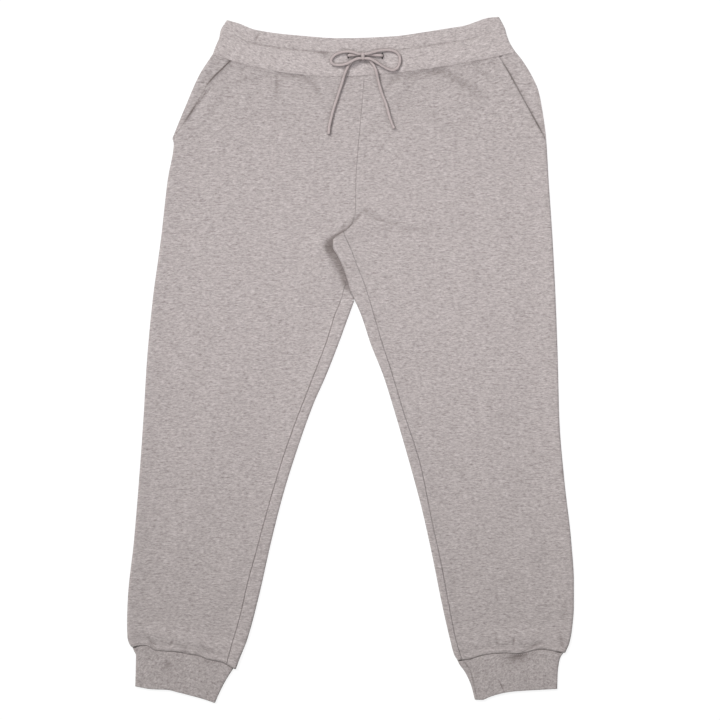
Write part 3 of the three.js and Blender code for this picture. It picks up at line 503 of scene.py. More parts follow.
def top_height(half, x, y, fine=True):
    """Middle surface of the cloth on top, fronts and rolled strips alike."""
    from_waist = row_height(WAIST_LINE[half.name], x) - y
    from_cuff = y - cuff_seam_y(half, x)
    height = ridges(FOLDS, x, y)
    height = height + gather_height(WAIST_GATHERS, x, from_waist)
    height = height + gather_height(CUFF_GATHERS, x, from_cuff)
    height = height + BLOUSE.height * bell((from_cuff - BLOUSE.centre) / BLOUSE.spread)
    past = (x - middle_x(y)) * half.side
    spread = mix(LOFT_SPREAD * 1.4, PLEAT_SPREAD, clamp01((y - APEX_Y) / 40))
    crotch = (y > APEX_Y) & (y < PLEAT_TOP_Y)
    inner_loft = rolled_loft(np.abs(x - half.inner(y)))
    if half is LEFT:
        pleat_loft = middle_lift(y) * bell(np.maximum(0, past) / spread)
    else:
        low = smooth((y - APEX_Y) / VALLEY_ENDS.at_apex) * smooth((PLEAT_TOP_Y - y) / VALLEY_ENDS.at_top)
        keep = smooth(past / VALLEY_WIDTH)
        fade = clamp01((PLEAT_TOP_Y - y) / VALLEY_ENDS.fade)
        pleat_loft = LOFT * (1 - low) * bell(past / LOFT_SPREAD) * fade
        dropped = height * mix(1, keep, low) + (LEAST_HEIGHT - BASE_HEIGHT) * low * (1 - keep)
        height = np.where(crotch, dropped, height)
    middle_loft = np.where(y <= APEX_Y, inner_loft, np.where(crotch, pleat_loft, 0.0))
    outer_loft = rolled_loft(np.abs(x - half.outer(y)))
    height = height + BASE_HEIGHT + np.maximum(outer_loft, middle_loft)
    slit = half.pocket(y)
    inside = np.where(np.abs(x) < np.abs(slit), np.abs(x - slit), 0.0)
    cover = facing_height(half, x, y) + (FACING_CLOTH + CLOTH) / 2 + 1.5 * SEAM_GAP
    hold = 1 - smooth((inside - POCKET_TUCK - 4) / POCKET_HOLD)
    below = np.exp(-np.maximum(0, POCKET_FOOT_Y - y) / POCKET_FADE)
    covered = np.maximum(height, mix(BASE_HEIGHT, cover, hold * below))
    height = np.where(y > POCKET_FOOT_Y - 40, covered, height)
    height = np.maximum(LEAST_HEIGHT, height)
    return height + fine_relief(half, x, y, from_waist, from_cuff, inside) if fine else height


def seam_pucker(x):
    """Small waves along the waist seam, the same on the fronts and the band."""
    return np.sin(x / 1.45 + 1.7 * np.sin(x / 7.3))


def fine_relief(half, x, y, from_waist, from_cuff, inside):
    """Creases, puckers, slow ripples and the roll over the cuff seam, on top of the main form."""
    finish = bpy.context.scene.joggers_cloth
    open_cloth = smooth(np.abs(x - half.outer(y)) / SIDE_CALM)
    calm = smooth((np.abs(x - BOW_CALM.x) - BOW_CALM.near) / BOW_CALM.spread)
    calm = np.where(y > BOW_CALM.above, calm, 1.0)
    height = finish.ripple * ripple_height(x, y) * open_cloth * calm
    height = height + finish.crease * ridges(CREASES, x, y)
    pucker = seam_pucker(x) * np.exp(-np.maximum(0, from_waist) / WAIST_PUCKER.reach)
    waist_roll = WAIST_ROLL.height * calm * bell(np.maximum(0, from_waist) / WAIST_ROLL.spread)
    height = height + finish.pucker * WAIST_PUCKER.height * pucker + waist_roll
    roll = SEAM_ROLL.height * bell((from_cuff - SEAM_ROLL.centre) / SEAM_ROLL.spread)
    tuck = np.sin(x / 1.9 + 2.2 * np.sin(x / 9.1))
    tuck = tuck * np.exp(-np.maximum(0, from_cuff) / CUFF_TUCK.reach)
    height = height + finish.pucker * (0.75 + 0.25 * np.sin(x / 11.0 + 0.8)) * roll
    height = height + finish.pucker * CUFF_TUCK.height * tuck
    slit = half.slit_lift(y) * bell(inside / SLIT_FOLD.spread) * np.where(inside > 0, 1.0, 0.0)
    height = height + SLIT_FOLD.height * slit * smooth((y - POCKET_FOOT_Y) / SLIT_FOLD.foot)
    if half is RIGHT:
        from_pleat = (x - middle_x(y)) * half.side
        beyond = bell((from_pleat - VALLEY_RISE.centre) / VALLEY_RISE.spread)
        height = height + finish.crease * valley_rise(y) * beyond
    return height


def panel_shade(half, x, y):
    """How dark the painted shade in the hollows of a panel's top is, from 0 to 1."""
    from_waist = np.maximum(0, row_height(WAIST_LINE[half.name], x) - y)
    shade = ridges(CREASES, x, y, "shade") + under_seam_shade(x) * np.exp(-from_waist / 5.0)
    off_slit = (x - half.pocket(y)) * half.side * SLIT_SHADE.slant
    reach = np.where(off_slit > 0, SLIT_SHADE.on_facing, SLIT_SHADE.on_front)
    above_foot = smooth((y - POCKET_FOOT_Y + 4) / 8)
    shade = shade + SLIT_SHADE.strength * half.slit_lift(y) * bell(off_slit / reach) * above_foot
    if half is RIGHT:
        from_pleat = (x - middle_x(y)) * half.side
        in_valley = 1 - smooth((from_pleat - valley_width(y)) / VALLEY_SOFTNESS + 0.5)
        near_pleat = bell((from_pleat - PLEAT_SHADE.centre) / PLEAT_SHADE.spread)
        beside_pleat = PLEAT_SHADE.least + PLEAT_SHADE.more * near_pleat
        pinch = PINCH.shade * bell((y - PINCH.y) / PINCH.along)
        pinch = pinch * bell((from_pleat - PINCH.centre) / PINCH.across)
        valley = valley_shade(y) * in_valley * beside_pleat + pinch
        shade = shade + np.where((y > APEX_Y) & (y < VALLEY_TOP_Y), valley, 0)
    return clamp01(shade)


# Mesh making

def grid_mesh(name, middle, out, thickness, present, rise, sheet_uv, shade, closed=False):
    """A wall of cloth on a grid of middle points: out leads out of the garment and rise moves the
    outer face alone. Cells that are not present stay open, and every open edge gets a wall."""
    rows, columns = middle.shape[:2]
    top = middle + out * (thickness / 2 + rise)[..., None]
    under = middle - out * (thickness / 2)
    count = rows * columns
    index = np.arange(count).reshape(rows, columns)
    step = (lambda a: np.roll(a, -1, axis=1)) if closed else (lambda a: a[:, 1:])
    left = index if closed else index[:, :-1]
    right = step(index)
    a, b, c, d = left[:-1], right[:-1], right[1:], left[1:]
    cells = present if closed else present[:, : columns - 1]
    faces = [np.stack([a, b, c, d], -1)[cells], np.stack([d, c, b, a], -1)[cells] + count]

    def border(shifted, first, second):
        edge = cells & ~shifted
        p, q = first[edge], second[edge]
        faces.append(np.stack([q, p, p + count, q + count], -1))

    empty_row = np.zeros((1, cells.shape[1]), bool)
    border(np.vstack([empty_row, cells[:-1]]), a, b)
    border(np.vstack([cells[1:], empty_row]), c, d)
    if closed:
        border(np.roll(cells, -1, axis=1), b, c)
        border(np.roll(cells, 1, axis=1), d, a)
    else:
        empty_column = np.zeros((cells.shape[0], 1), bool)
        border(np.hstack([cells[:, 1:], empty_column]), b, c)
        border(np.hstack([empty_column, cells[:, :-1]]), d, a)
    points = np.concatenate([top.reshape(-1, 3), under.reshape(-1, 3)])
    uv = np.tile(sheet_uv.reshape(-1, 2), (2, 1))
    return quad_mesh(name, points, np.concatenate(faces), uv, np.tile(shade.ravel(), 2))


def add_object(name, data, location=(0.0, 0.0, 0.0)):
    """A new object at its place in the scene."""
    made = bpy.data.objects.new(name, data)
    made.location = location
    bpy.context.scene.collection.objects.link(made)
    return made


def quad_mesh(name, points, faces, uv, shade=None):
    """A smooth mesh object of quads, given in millimetres, with its faces turned out. Shade
    says how much painted shade darkens each point."""
    used, faces = np.unique(faces, return_inverse=True)
    faces = faces.reshape(-1, 4)
    points, uv = points[used] * MM, uv[used] * MM
    corner = points[faces]
    volume = np.einsum("ij,ij->", corner[:, 0], np.cross(corner[:, 1], corner[:, 2]))
    volume += np.einsum("ij,ij->", corner[:, 0], np.cross(corner[:, 2], corner[:, 3]))
    if volume < 0:
        faces = faces[:, ::-1]
    mesh = bpy.data.meshes.new(name)
    mesh.vertices.add(len(points))
    mesh.vertices.foreach_set("co", points.astype(np.float32).ravel())
    mesh.loops.add(faces.size)
    mesh.loops.foreach_set("vertex_index", faces.astype(np.int32).ravel())
    mesh.polygons.add(len(faces))
    mesh.polygons.foreach_set("loop_start", np.arange(0, faces.size, 4, dtype=np.int32))
    mesh.polygons.foreach_set("use_smooth", np.ones(len(faces), bool))
    mesh.update(calc_edges=True)
    layer = mesh.uv_layers.new(name="cloth")
    layer.data.foreach_set("uv", uv[faces.ravel()].astype(np.float32).ravel())
    if shade is not None:
        # Painted shade: how far each point's colour is darkened to stand in for shade
        hollow = mesh.attributes.new("hollow", "FLOAT", "POINT")
        hollow.data.foreach_set("value", shade[used].astype(np.float32))
    mesh.set_sharp_from_angle(angle=math.radians(60))
    return add_object(name, mesh)


def dress(piece, material, slot, *nodes):
    """Gives a finished piece its material and body, and hides the frame nodes that it stands for.
    Its slot is not used.
    """
    piece.data.materials.clear()
    piece.data.materials.append(material)
    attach(piece, "root")
    if nodes:
        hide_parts(*nodes)
    return piece


def edge_drop(distance, radius=EDGE_ROUND):
    """How far the face of a cloth's edge falls at a distance from that edge."""
    inside = np.clip(radius - distance, 0, radius)
    return radius - np.sqrt(radius**2 - inside**2)


def spread_columns(start, end, count):
    """Places from start to end that are close together near both ends."""
    sign = np.sign(end - start)
    room = np.minimum(1.0, 0.3 * np.abs(end - start) / EDGE_STEPS[-1])
    near = start + sign * EDGE_STEPS * room
    far = end - sign * EDGE_STEPS[::-1] * room
    t = np.linspace(0, 1, count + 2)[1:-1]
    return np.hstack([near, mix(near[:, -1:], far[:, :1], t), far])


def fine_rows():
    """Heights of a panel's rows, from the waist seam to the cuff seam."""
    spans = table("high low step", [
        (WAIST_Y, 400, 1.7), (400, POCKET_FOOT_Y, 2.5), (POCKET_FOOT_Y, PLEAT_TOP_Y, 3),
        (PLEAT_TOP_Y, LEFT_TONGUE_Y, 1.6), (LEFT_TONGUE_Y, RIGHT_TONGUE_Y, 1.7),
        (RIGHT_TONGUE_Y, APEX_Y, 1.8), (APEX_Y, -390, 3.1), (-390, CUFF_Y, 1.4),
    ])
    heights = [WAIST_Y - EDGE_STEPS, CUFF_Y + EDGE_STEPS]
    for span in spans:
        steps = math.ceil((span.high - span.low) / span.step)
        heights.append(np.linspace(span.high, span.low, steps + 1))
    return np.unique(np.round(np.concatenate(heights), 4))[::-1].reshape(-1, 1)


def rolled_points(line, edge, side, angle, low, high, thickness, radius=FOLD_RADIUS, narrow=1.0):
    """Points and outward directions on a rolled edge. Angle 0 is the outermost line and a quarter
    turn is the top. Side is +1 where out is +X."""
    reach = narrow * radius
    centre = edge - side * (reach + narrow * thickness / 2)
    x = centre + side * reach * np.cos(angle)
    z = (low + high) / 2 + (high - low) / 2 * np.sin(angle)
    y = clear_height(line, x)
    out = np.stack(np.broadcast_arrays(side * np.cos(angle), 0.0, np.sin(angle)), -1)
    out = np.broadcast_to(out, x.shape + (3,))
    return np.stack(np.broadcast_arrays(x, y, z), -1), out


def level_points(x, y, z, up=1.0):
    out = np.zeros(x.shape + (3,))
    out[..., 2] = up
    return np.stack(np.broadcast_arrays(x, y, z), -1), out


def joined(*parts):
    """Columns of points and of their outward directions, side by side."""
    return [np.concatenate(columns, axis=1) for columns in zip(*parts)]


# Where the heather of each piece starts, so that no two look alike
HEATHER_START = {
    "front_right": 600, "front_left": 1900, "back_right": 3300, "back_left": 4700,
    "pocket_right": 5900, "pocket_left": 6400, "waistband": 7300, "cuff_right": 8100, "cuff_left": 8900,
}


def panel_uv(points, rows, shift):
    """Cloth coordinates: the way along each row from its middle, and the row's height, moved by
    the place where the piece's heather starts."""
    step = np.linalg.norm(np.diff(points, axis=1), axis=2)
    across = np.concatenate([np.zeros((len(points), 1)), np.cumsum(step, axis=1)], axis=1)
    across -= across[:, -1:] / 2
    return np.stack([across + shift, np.broadcast_to(rows + shift, across.shape)], -1)


def seam_drop(rows, waist=True):
    """Rounding of the cloth at its waist and cuff edges."""
    drop = edge_drop(rows - CUFF_Y, CUFF_SEAM_ROUND)
    return np.maximum(drop, edge_drop(WAIST_Y - rows, WAIST_SEAM_ROUND)) if waist else drop


def inseam_drop(rows, distance):
    """Rounding at the seams along the middle: shallow in the crotch and deeper down the leg."""
    down_leg = smooth((INSEAM_ROUND.leg_y - rows) / INSEAM_ROUND.change)
    depth = mix(INSEAM_ROUND.crotch, INSEAM_ROUND.leg, down_leg)
    inside = np.clip(1 - distance / depth, 0, 1)
    return depth * (1 - np.sqrt(1 - inside**2))


def front_panel(half):
    """A front: from the side seam or the pocket slit to the centre seam, the pleat or the inseam."""
    side = half.side
    rows = fine_rows()
    line = row_line(half, rows)
    has_slit = rows > POCKET_FOOT_Y
    slit = meet(line, half.pocket)
    start = np.where(has_slit, slit, line.outer - side * ROLL_REACH)
    seam = np.where(rows > half.tongue_top, middle_x(rows), meet(line, half.inseam))
    end = seam + side * np.where(rows > half.tongue_top, CENTRE_GAP, SEAM_GAP) / 2
    if half is RIGHT:
        tuck = clamp01((LEFT_TONGUE_Y - rows) / 5) * clamp01((rows - RIGHT_TONGUE_Y) / 13)
        end = end + (PLEAT_TUCK + SEAM_GAP / 2) * tuck
    angle = mix(SEAM_ANGLE, QUARTER, np.arange(ROLL_STEPS) / ROLL_STEPS).reshape(1, -1)
    high = top_height(half, start, clear_height(line, start))
    roll = rolled_points(line, line.outer, side, angle, CLOTH / 2, high, CLOTH)
    columns = math.ceil(np.max(np.abs(end - start)) / PANEL_STEP)
    x = spread_columns(start, end, columns)
    y = clear_height(line, x)
    open_cloth = level_points(x, y, top_height(half, x, y))
    points, out = joined(roll, open_cloth)
    from_end = np.abs(points[..., 0] - end)
    from_slit = np.where(has_slit, np.abs(points[..., 0] - start), FAR)
    side_drop = np.maximum(inseam_drop(rows, from_end), edge_drop(from_slit, SLIT_ROUND))
    drop = np.maximum(side_drop, seam_drop(rows))
    present = np.ones((len(rows) - 1, points.shape[1] - 1), bool)
    present[:, :ROLL_STEPS] = rows[:-1] <= POCKET_FOOT_Y
    shade = panel_shade(half, points[..., 0], points[..., 1])
    uv = panel_uv(points, rows, HEATHER_START[f"front_{half.name}"])
    return grid_mesh(f"cloth_front_{half.name}", points, out, CLOTH, present, -drop, uv, shade)


def back_panel(half):
    """A back: flat on the surface, rolled at the side and at the inner leg, up to the inseam on top.
    The left one's tongue lies over the right leg in the crotch."""
    side = half.side
    rows = fine_rows()
    line = row_line(half, rows)
    is_leg = rows <= APEX_Y
    start = line.outer - side * ROLL_REACH
    edge_high = top_height(half, start, clear_height(line, start))
    angle = mix(-SEAM_ANGLE, -QUARTER, np.arange(ROLL_STEPS) / ROLL_STEPS).reshape(1, -1)
    outer_roll = rolled_points(line, line.outer, side, angle, CLOTH / 2, edge_high, CLOTH)
    end = line.inner + side * (SEAM_GAP / 2 + np.where(is_leg, ROLL_REACH, 0.0))
    x = mix(start, end, np.linspace(0, 1, BACK_COLUMNS + 1))
    floor = level_points(x, clear_height(line, x), CLOTH / 2, up=-1.0)

    edge = np.where(is_leg, line.inner, middle_x(rows)) + side * SEAM_GAP / 2
    seam = meet(line, half.inseam) - side * SEAM_GAP / 2
    width = np.maximum(0.05, np.abs(seam - edge))
    narrow = np.clip(width / (2 * ROLL_REACH), 0.02, 1.0)
    if half is RIGHT:
        narrow = np.where(is_leg, narrow, 0.02)
    crown = edge + side * narrow * ROLL_REACH
    high = top_height(half, crown, clear_height(line, crown))
    tongue_low = high - 2 * FOLD_RADIUS
    low = np.where(is_leg, CLOTH / 2, mix(CLOTH / 2, tongue_low, clamp01((rows - APEX_Y) / 16)))
    angle = mix(-QUARTER, QUARTER, np.arange(1, 2 * ROLL_STEPS + 1) / (2 * ROLL_STEPS)).reshape(1, -1)
    inner_roll = rolled_points(line, edge, -side, angle, low, high, CLOTH, narrow=narrow)
    x = mix(inner_roll[0][:, -1:, 0], seam, STRIP_PLACES)
    y = clear_height(line, x)
    strip = level_points(x, y, top_height(half, x, y))
    points, out = joined(outer_roll, floor, inner_roll, strip)

    from_seam = np.where(points[..., 2] > CLOTH, np.abs(points[..., 0] - seam), FAR)
    on_top = clamp01(out[..., 2])
    drop = np.maximum(inseam_drop(rows, from_seam), seam_drop(rows, waist=False)) * on_top
    roll_start = ROLL_STEPS + BACK_COLUMNS
    column = np.arange(points.shape[1] - 1)[None, :]
    present = np.ones((len(rows) - 1, points.shape[1] - 1), bool)
    low_rows, strip_rows = rows[:-1] <= APEX_Y, rows[:-1] <= half.tongue_top
    from_middle = strip_rows if half is LEFT else low_rows
    present &= (column < roll_start) | (column >= roll_start + ROLL_STEPS) | low_rows
    middle_roll = (column >= roll_start + ROLL_STEPS) & (column < roll_start + 2 * ROLL_STEPS)
    present &= ~middle_roll | from_middle
    present &= (column < roll_start + 2 * ROLL_STEPS) | strip_rows
    shade = panel_shade(half, points[..., 0], points[..., 1]) * on_top
    uv = panel_uv(points, rows, HEATHER_START[f"back_{half.name}"])
    return grid_mesh(f"cloth_back_{half.name}", points, out, CLOTH, present, -drop, uv, shade)


def pocket_facing(half):
    """The facing fills the corner that the pocket slit opens and reaches under the front."""
    side = half.side
    rows = fine_rows()
    rows = rows[rows[:, 0] >= POCKET_FOOT_Y]
    line = row_line(half, np.where(rows == POCKET_FOOT_Y, POCKET_FOOT_Y + SEAM_GAP, rows))
    start = line.outer - side * (FOLD_RADIUS + FACING_CLOTH / 2)
    slit = meet(line, half.pocket)
    end = slit - side * POCKET_TUCK
    y = clear_height(line, start)
    high = facing_height(half, start, y)
    back_high = top_height(half, line.outer - side * ROLL_REACH, y, fine=False)
    low = (CLOTH / 2 + back_high) / 2 + FACING_LIFT
    angle = mix(SEAM_ANGLE, QUARTER, np.arange(ROLL_STEPS) / ROLL_STEPS).reshape(1, -1)
    roll = rolled_points(line, line.outer, side, angle, 2 * low - high, high, FACING_CLOTH)
    slit_place = np.clip((slit - start) / (end - start), 0.05, 0.95)
    outside = slit_place * (1 - np.linspace(1, 0, FACING_COLUMNS + 1) ** FACING_CROWDING)
    tucked = mix(slit_place, 1, np.linspace(0, 1, TUCK_COLUMNS + 1)[1:])
    x = mix(start, end, np.hstack([outside, tucked]))
    y = clear_height(line, x)
    points, out = joined(roll, level_points(x, y, facing_height(half, x, y)))
    present = np.ones((len(rows) - 1, points.shape[1] - 1), bool)
    drop = np.broadcast_to(edge_drop(WAIST_Y - rows, WAIST_SEAM_ROUND), points.shape[:2])
    shade = panel_shade(half, points[..., 0], points[..., 1])
    uv = panel_uv(points, rows, HEATHER_START[f"pocket_{half.name}"])
    return grid_mesh(f"cloth_pocket_{half.name}", points, out, FACING_CLOTH, present, -drop, uv, shade)


# Flattened tubes: the waistband and the cuffs

def back_columns(half, line):
    """Places of the back panel's flat part at a seam, which the tube shares."""
    start = line.outer - half.side * ROLL_REACH
    reach = ROLL_REACH if line.y <= APEX_Y else 0.0
    end = line.inner + half.side * (SEAM_GAP / 2 + reach)
    return mix(start, end, np.linspace(0, 1, TUBE_BACK_COLUMNS + 1))


def edge_curves(points, first, second):
    """An edge as curves x(v) and y(v), with its ends on the tube's two seams."""
    rows = [list(row) for row in points]
    rows[0][2] = float(first(rows[0][1]))
    rows[-1][2] = float(second(rows[-1][1]))
    return Curve([(v, x) for v, x, _ in rows]), Curve([(v, y) for v, _, y in rows])


def flat_tube(name, shape):
    """A flattened tube of cloth between two seams, closed all round."""
    first, second = shape.first, shape.second
    left_x, left_y = edge_curves(shape.left_edge, first, second)
    right_x, right_y = edge_curves(shape.right_edge, first, second)
    v = shape.levels.reshape(-1, 1)
    left, right = left_x(v), right_x(v)
    wall, radius = shape.wall, shape.radius
    inset = radius + wall / 2

    def place(u):
        x1 = mix(left_x(0), right_x(0), u)
        x2 = mix(left_x(1), right_x(1), u)
        left_shift = left_y(v) - mix(first(left_x(0)), second(left_x(1)), v)
        right_shift = right_y(v) - mix(first(right_x(0)), second(right_x(1)), v)
        from_edge = np.minimum(u, 1 - u) * (right - left)
        y = mix(first(x1), second(x2), v) + mix(left_shift, right_shift, u)
        return mix(left, right, u), y + np.where(v == 0, shape.away * seam_clearance(from_edge), 0.0)

    floor, high = wall / 2, wall / 2 + 2 * radius
    inset_u = inset / (right - left)
    u = mix(inset_u, 1 - inset_u, np.linspace(0, 1, shape.front_steps + 1))
    x, y = place(u)
    front = level_points(x, y, np.full_like(x, high))
    rise = shape.rise(u, v, x, y)

    def turn(corner_u, side, start, stop):
        corner_x, _ = place(corner_u)
        angle = mix(start, stop, np.arange(1, 2 * ROLL_STEPS) / (2 * ROLL_STEPS)).reshape(1, -1)
        x = corner_x + side * radius * np.cos(angle)
        z = (floor + high) / 2 + (high - floor) / 2 * np.sin(angle)
        _, y = place((x - left) / (right - left))
        out = np.stack(np.broadcast_arrays(side * np.cos(angle), 0.0, np.sin(angle)), -1)
        return np.stack(np.broadcast_arrays(x, y, z), -1), np.broadcast_to(out, x.shape + (3,))

    right_turn = turn(1 - inset_u, 1, QUARTER, -QUARTER)
    left_turn = turn(inset_u, -1, -QUARTER, QUARTER)
    back_u = clamp01((shape.back_places.reshape(1, -1) - left_x(0)) / (right_x(0) - left_x(0)))
    x, y = place(np.broadcast_to(back_u, (len(v), back_u.shape[1])))
    back = level_points(x, y, np.full_like(x, floor), up=-1.0)
    points, out = joined(front, right_turn, back, left_turn)
    full_rise = np.zeros(points.shape[:2])
    full_rise[:, : rise.shape[1]] = rise
    length = np.hypot(left_x(1) - left_x(0), left_y(1) - left_y(0))
    seam_drops = edge_drop(np.minimum(v, 1 - v) * length, shape.rounding)
    full_rise -= seam_drops * clamp01(out[..., 2])
    present = np.ones((len(v) - 1, points.shape[1]), bool)
    uv = panel_uv(points, v * length, shape.shift)
    shade = shape.shade(points[..., 0], points[..., 1], v) * clamp01(out[..., 2])
    return grid_mesh(name, points, out, wall, present, full_rise, uv, shade, closed=True)


def edge_levels(length, steps):
    """Levels from 0 to 1 along a tube, close together at both ends."""
    near = EDGE_STEPS / length
    return np.unique(np.concatenate([near, 1 - near, np.linspace(near[-1], 1 - near[-1], steps)]))


BAND_LEFT_EDGE = [
    (0, -207, 458.3), (0.25, -201.8, 472.5), (0.45, -196.8, 484), (0.65, -195.2, 493.5), (1, -185.7, 510),
]
BAND_RIGHT_EDGE = [
    (0, 248.3, 461.3), (0.3, 238.5, 477), (0.5, 234.2, 488.5), (0.68, 231.8, 497.3), (1, 222.8, 514.6),
]
band_top = Curve([
    (-185.7, 510), (-167.3, 504.5), (-143.3, 495.3), (-108.8, 489.6), (-62.3, 485.2), (-30.8, 482.8),
    (-9.8, 482.5), (65.3, 485.4), (108.8, 491.3), (144.8, 497), (171.8, 501.5), (186.8, 506.6),
    (206.3, 513), (222.8, 514.6),
])
BAND_DEPTH = 56.0
BAND_TOP_HEIGHT = BAND_WALL + 2 * BAND_FOLD_RADIUS
CHANNEL_LEVEL = 0.6
BAND_GATHERS = SimpleNamespace(count=15, height=0.5, sway=1.3, sway_rate=9)
CHANNEL_PUCKER = SimpleNamespace(count=47, height=0.12, sway=2.1, spread=0.2)
CHANNEL_PUFF = SimpleNamespace(below=0.35, above=0.3)
CHANNEL_GROOVE = SimpleNamespace(spread=1.3, shade_spread=1.9)
BAND_FLAT_SIDE = 0.08
BOW_CLEAR = 36.0


def waist_y(x):
    right = row_height(WAIST_LINE["right"], x)
    left = row_height(WAIST_LINE["left"], x)
    return np.where(x < middle_x(WAIST_Y), right, left)


def bow_clearance(x):
    """0 under the bow, where the band stays flat, and 1 away from it."""
    return smooth((np.abs(x - middle_x(WAIST_Y)) - BOW_CLEAR) / BOW_CLEAR)


def band_rise(u, v, x, y):
    """Gathers, the puff on each side of the drawstring channel and its stitched groove."""
    finish = bpy.context.scene.joggers_cloth
    sides = smooth(u / BAND_FLAT_SIDE) * smooth((1 - u) / BAND_FLAT_SIDE)
    sway = BAND_GATHERS.sway * np.sin(BAND_GATHERS.sway_rate * u)
    gather = 0.5 + 0.5 * np.sin(2 * math.pi * BAND_GATHERS.count * u + sway)
    from_channel = v - CHANNEL_LEVEL
    sway = CHANNEL_PUCKER.sway * np.sin(13 * u + 3 * v)
    fine = np.sin(2 * math.pi * CHANNEL_PUCKER.count * u + sway)
    fine = fine * bell(from_channel / CHANNEL_PUCKER.spread)
    groove = finish.channel_depth / MM * bell(from_channel * BAND_DEPTH / CHANNEL_GROOVE.spread)
    puff = CHANNEL_PUFF.below * np.sin(math.pi * clamp01(v / CHANNEL_LEVEL)) ** 2
    puff += CHANNEL_PUFF.above * np.sin(math.pi * clamp01(from_channel / (1 - CHANNEL_LEVEL))) ** 2
    lift = BAND_GATHERS.height * gather * mix(1.0, 0.5, v) + puff
    lift = lift + CHANNEL_PUCKER.height * fine - groove
    lift = lift + ridges(BAND_CREASES, x, y)
    seam_dip = WAIST_PUCKER.on_band * seam_pucker(x) * np.exp(-v * BAND_DEPTH / WAIST_PUCKER.band_reach)
    seam_dip = seam_dip - WAIST_ROLL.height * bell(v * BAND_DEPTH / WAIST_ROLL.spread)
    return sides * (bow_clearance(x) * lift + seam_dip)


def band_shade(x, y, v):
    # Painted shade along the channel's groove and in the band's creases
    groove = channel_shade(x) * bell((v - CHANNEL_LEVEL) * BAND_DEPTH / CHANNEL_GROOVE.shade_spread)
    return clamp01(groove + ridges(BAND_CREASES, x, y, "shade"))


def waistband():
    near_channel = CHANNEL_LEVEL + np.linspace(-3, 3, 9) / BAND_DEPTH
    levels = np.union1d(edge_levels(BAND_DEPTH, BAND_STEPS.along), near_channel)
    left_back = back_columns(LEFT, WAIST_LINE["left"])
    right_back = back_columns(RIGHT, WAIST_LINE["right"])
    return flat_tube("cloth_waistband", SimpleNamespace(
        first=waist_y, second=band_top, left_edge=BAND_LEFT_EDGE, right_edge=BAND_RIGHT_EDGE,
        levels=levels, wall=BAND_WALL, radius=BAND_FOLD_RADIUS, front_steps=BAND_STEPS.round,
        back_places=np.concatenate([left_back, right_back[::-1]]), away=1, rise=band_rise, rounding=0.7,
        shade=band_shade, shift=HEATHER_START["waistband"],
    ))


CUFFS = {
    "right": SimpleNamespace(
        left_edge=[
            (0, -327.4, -431), (0.1, -324.6, -437), (0.22, -321.9, -443), (0.5, -322.2, -460),
            (1, -323, -489.5),
        ],
        right_edge=[
            (0, -175, -464.5), (0.2, -182.6, -474), (0.45, -190.5, -487.5), (0.8, -199, -505),
            (1, -203.2, -514.5),
        ],
        hem=Curve([
            (-323, -489.5), (-297.8, -493.8), (-274.7, -494.8), (-258.8, -498.5), (-240, -503.3),
            (-223.5, -507.8), (-203.2, -514.5),
        ]),
    ),
    "left": SimpleNamespace(
        left_edge=[
            (0, 160.5, -450.9), (0.11, 163.8, -457.5), (0.24, 169.6, -465), (0.38, 174.4, -473),
            (0.65, 181.2, -489), (1, 186.5, -509.5),
        ],
        right_edge=[
            (0, 319.5, -439.5), (0.15, 314.6, -447.5), (0.35, 312.2, -458.5), (0.6, 310.8, -472),
            (1, 310.2, -493.3),
        ],
        hem=Curve([
            (186.5, -509.5), (197, -509.8), (209.3, -505.2), (221, -501.6), (233, -498.8),
            (246.8, -497), (264, -495.8), (310.2, -493.3),
        ]),
    ),
}
CUFF_DEPTH = 56.0
CUFF_WIDTH = 150.0
CUFF_WAVES = SimpleNamespace(count=9, height=0.35)
CUFF_DIP = SimpleNamespace(depth=0.55, spread=2.6)
# Painted shade under the leg's rolled edge, over the top of each cuff
HEM_SHADE = SimpleNamespace(strength=0.2, reach=1.6)
CUFF_FLAT_SIDE = 0.1


def cuff_rise(u, v, x, y):
    """Ribs, soft waves at the seam, hollows, and the dip under the leg's rolled edge."""
    finish = bpy.context.scene.joggers_cloth
    sides = smooth(u / CUFF_FLAT_SIDE) * smooth((1 - u) / CUFF_FLAT_SIDE)
    waves = CUFF_WAVES.height * np.sin(math.pi * CUFF_WAVES.count * u) ** 2 * (1 - v)
    ribs = np.abs(np.sin(math.pi * u * CUFF_WIDTH / (finish.rib_pitch / MM))) ** 0.7
    dip = -CUFF_DIP.depth * bell(v * CUFF_DEPTH / CUFF_DIP.spread)
    sag = ridges(CUFF_CREASES, x, y)
    return sides * (waves + sag) + dip + finish.rib_height / MM * (ribs - 0.5) * smooth(sides * 3)


def cuff_shade(x, y, v):
    # Painted shade in the cuff's creases and under the leg's rolled edge
    under_hem = HEM_SHADE.strength * np.exp(-v * CUFF_DEPTH / HEM_SHADE.reach)
    return clamp01(ridges(CUFF_CREASES, x, y, "shade") + under_hem)


def cuff(half):
    shape = CUFFS[half.name]
    back = np.sort(back_columns(half, CUFF_LINE[half.name]))[::-1]
    return flat_tube(f"cloth_cuff_{half.name}", SimpleNamespace(
        first=lambda x: cuff_seam_y(half, x), second=shape.hem,
        left_edge=shape.left_edge, right_edge=shape.right_edge,
        levels=edge_levels(CUFF_DEPTH, CUFF_STEPS.along), wall=CUFF_WALL, radius=CUFF_FOLD_RADIUS,
        front_steps=CUFF_STEPS.round,
        back_places=back, away=-1, rise=cuff_rise, rounding=1.5, shade=cuff_shade,
        shift=HEATHER_START[f"cuff_{half.name}"],
    ))


# Drawstring

BOW_X = 18.75
BOW_Y = 454.5
KNOT = SimpleNamespace(width=6.5, length=13.4, height=10.8)
CORD_DIAMETER = 5.0
CORD_CLEARANCE = 0.35
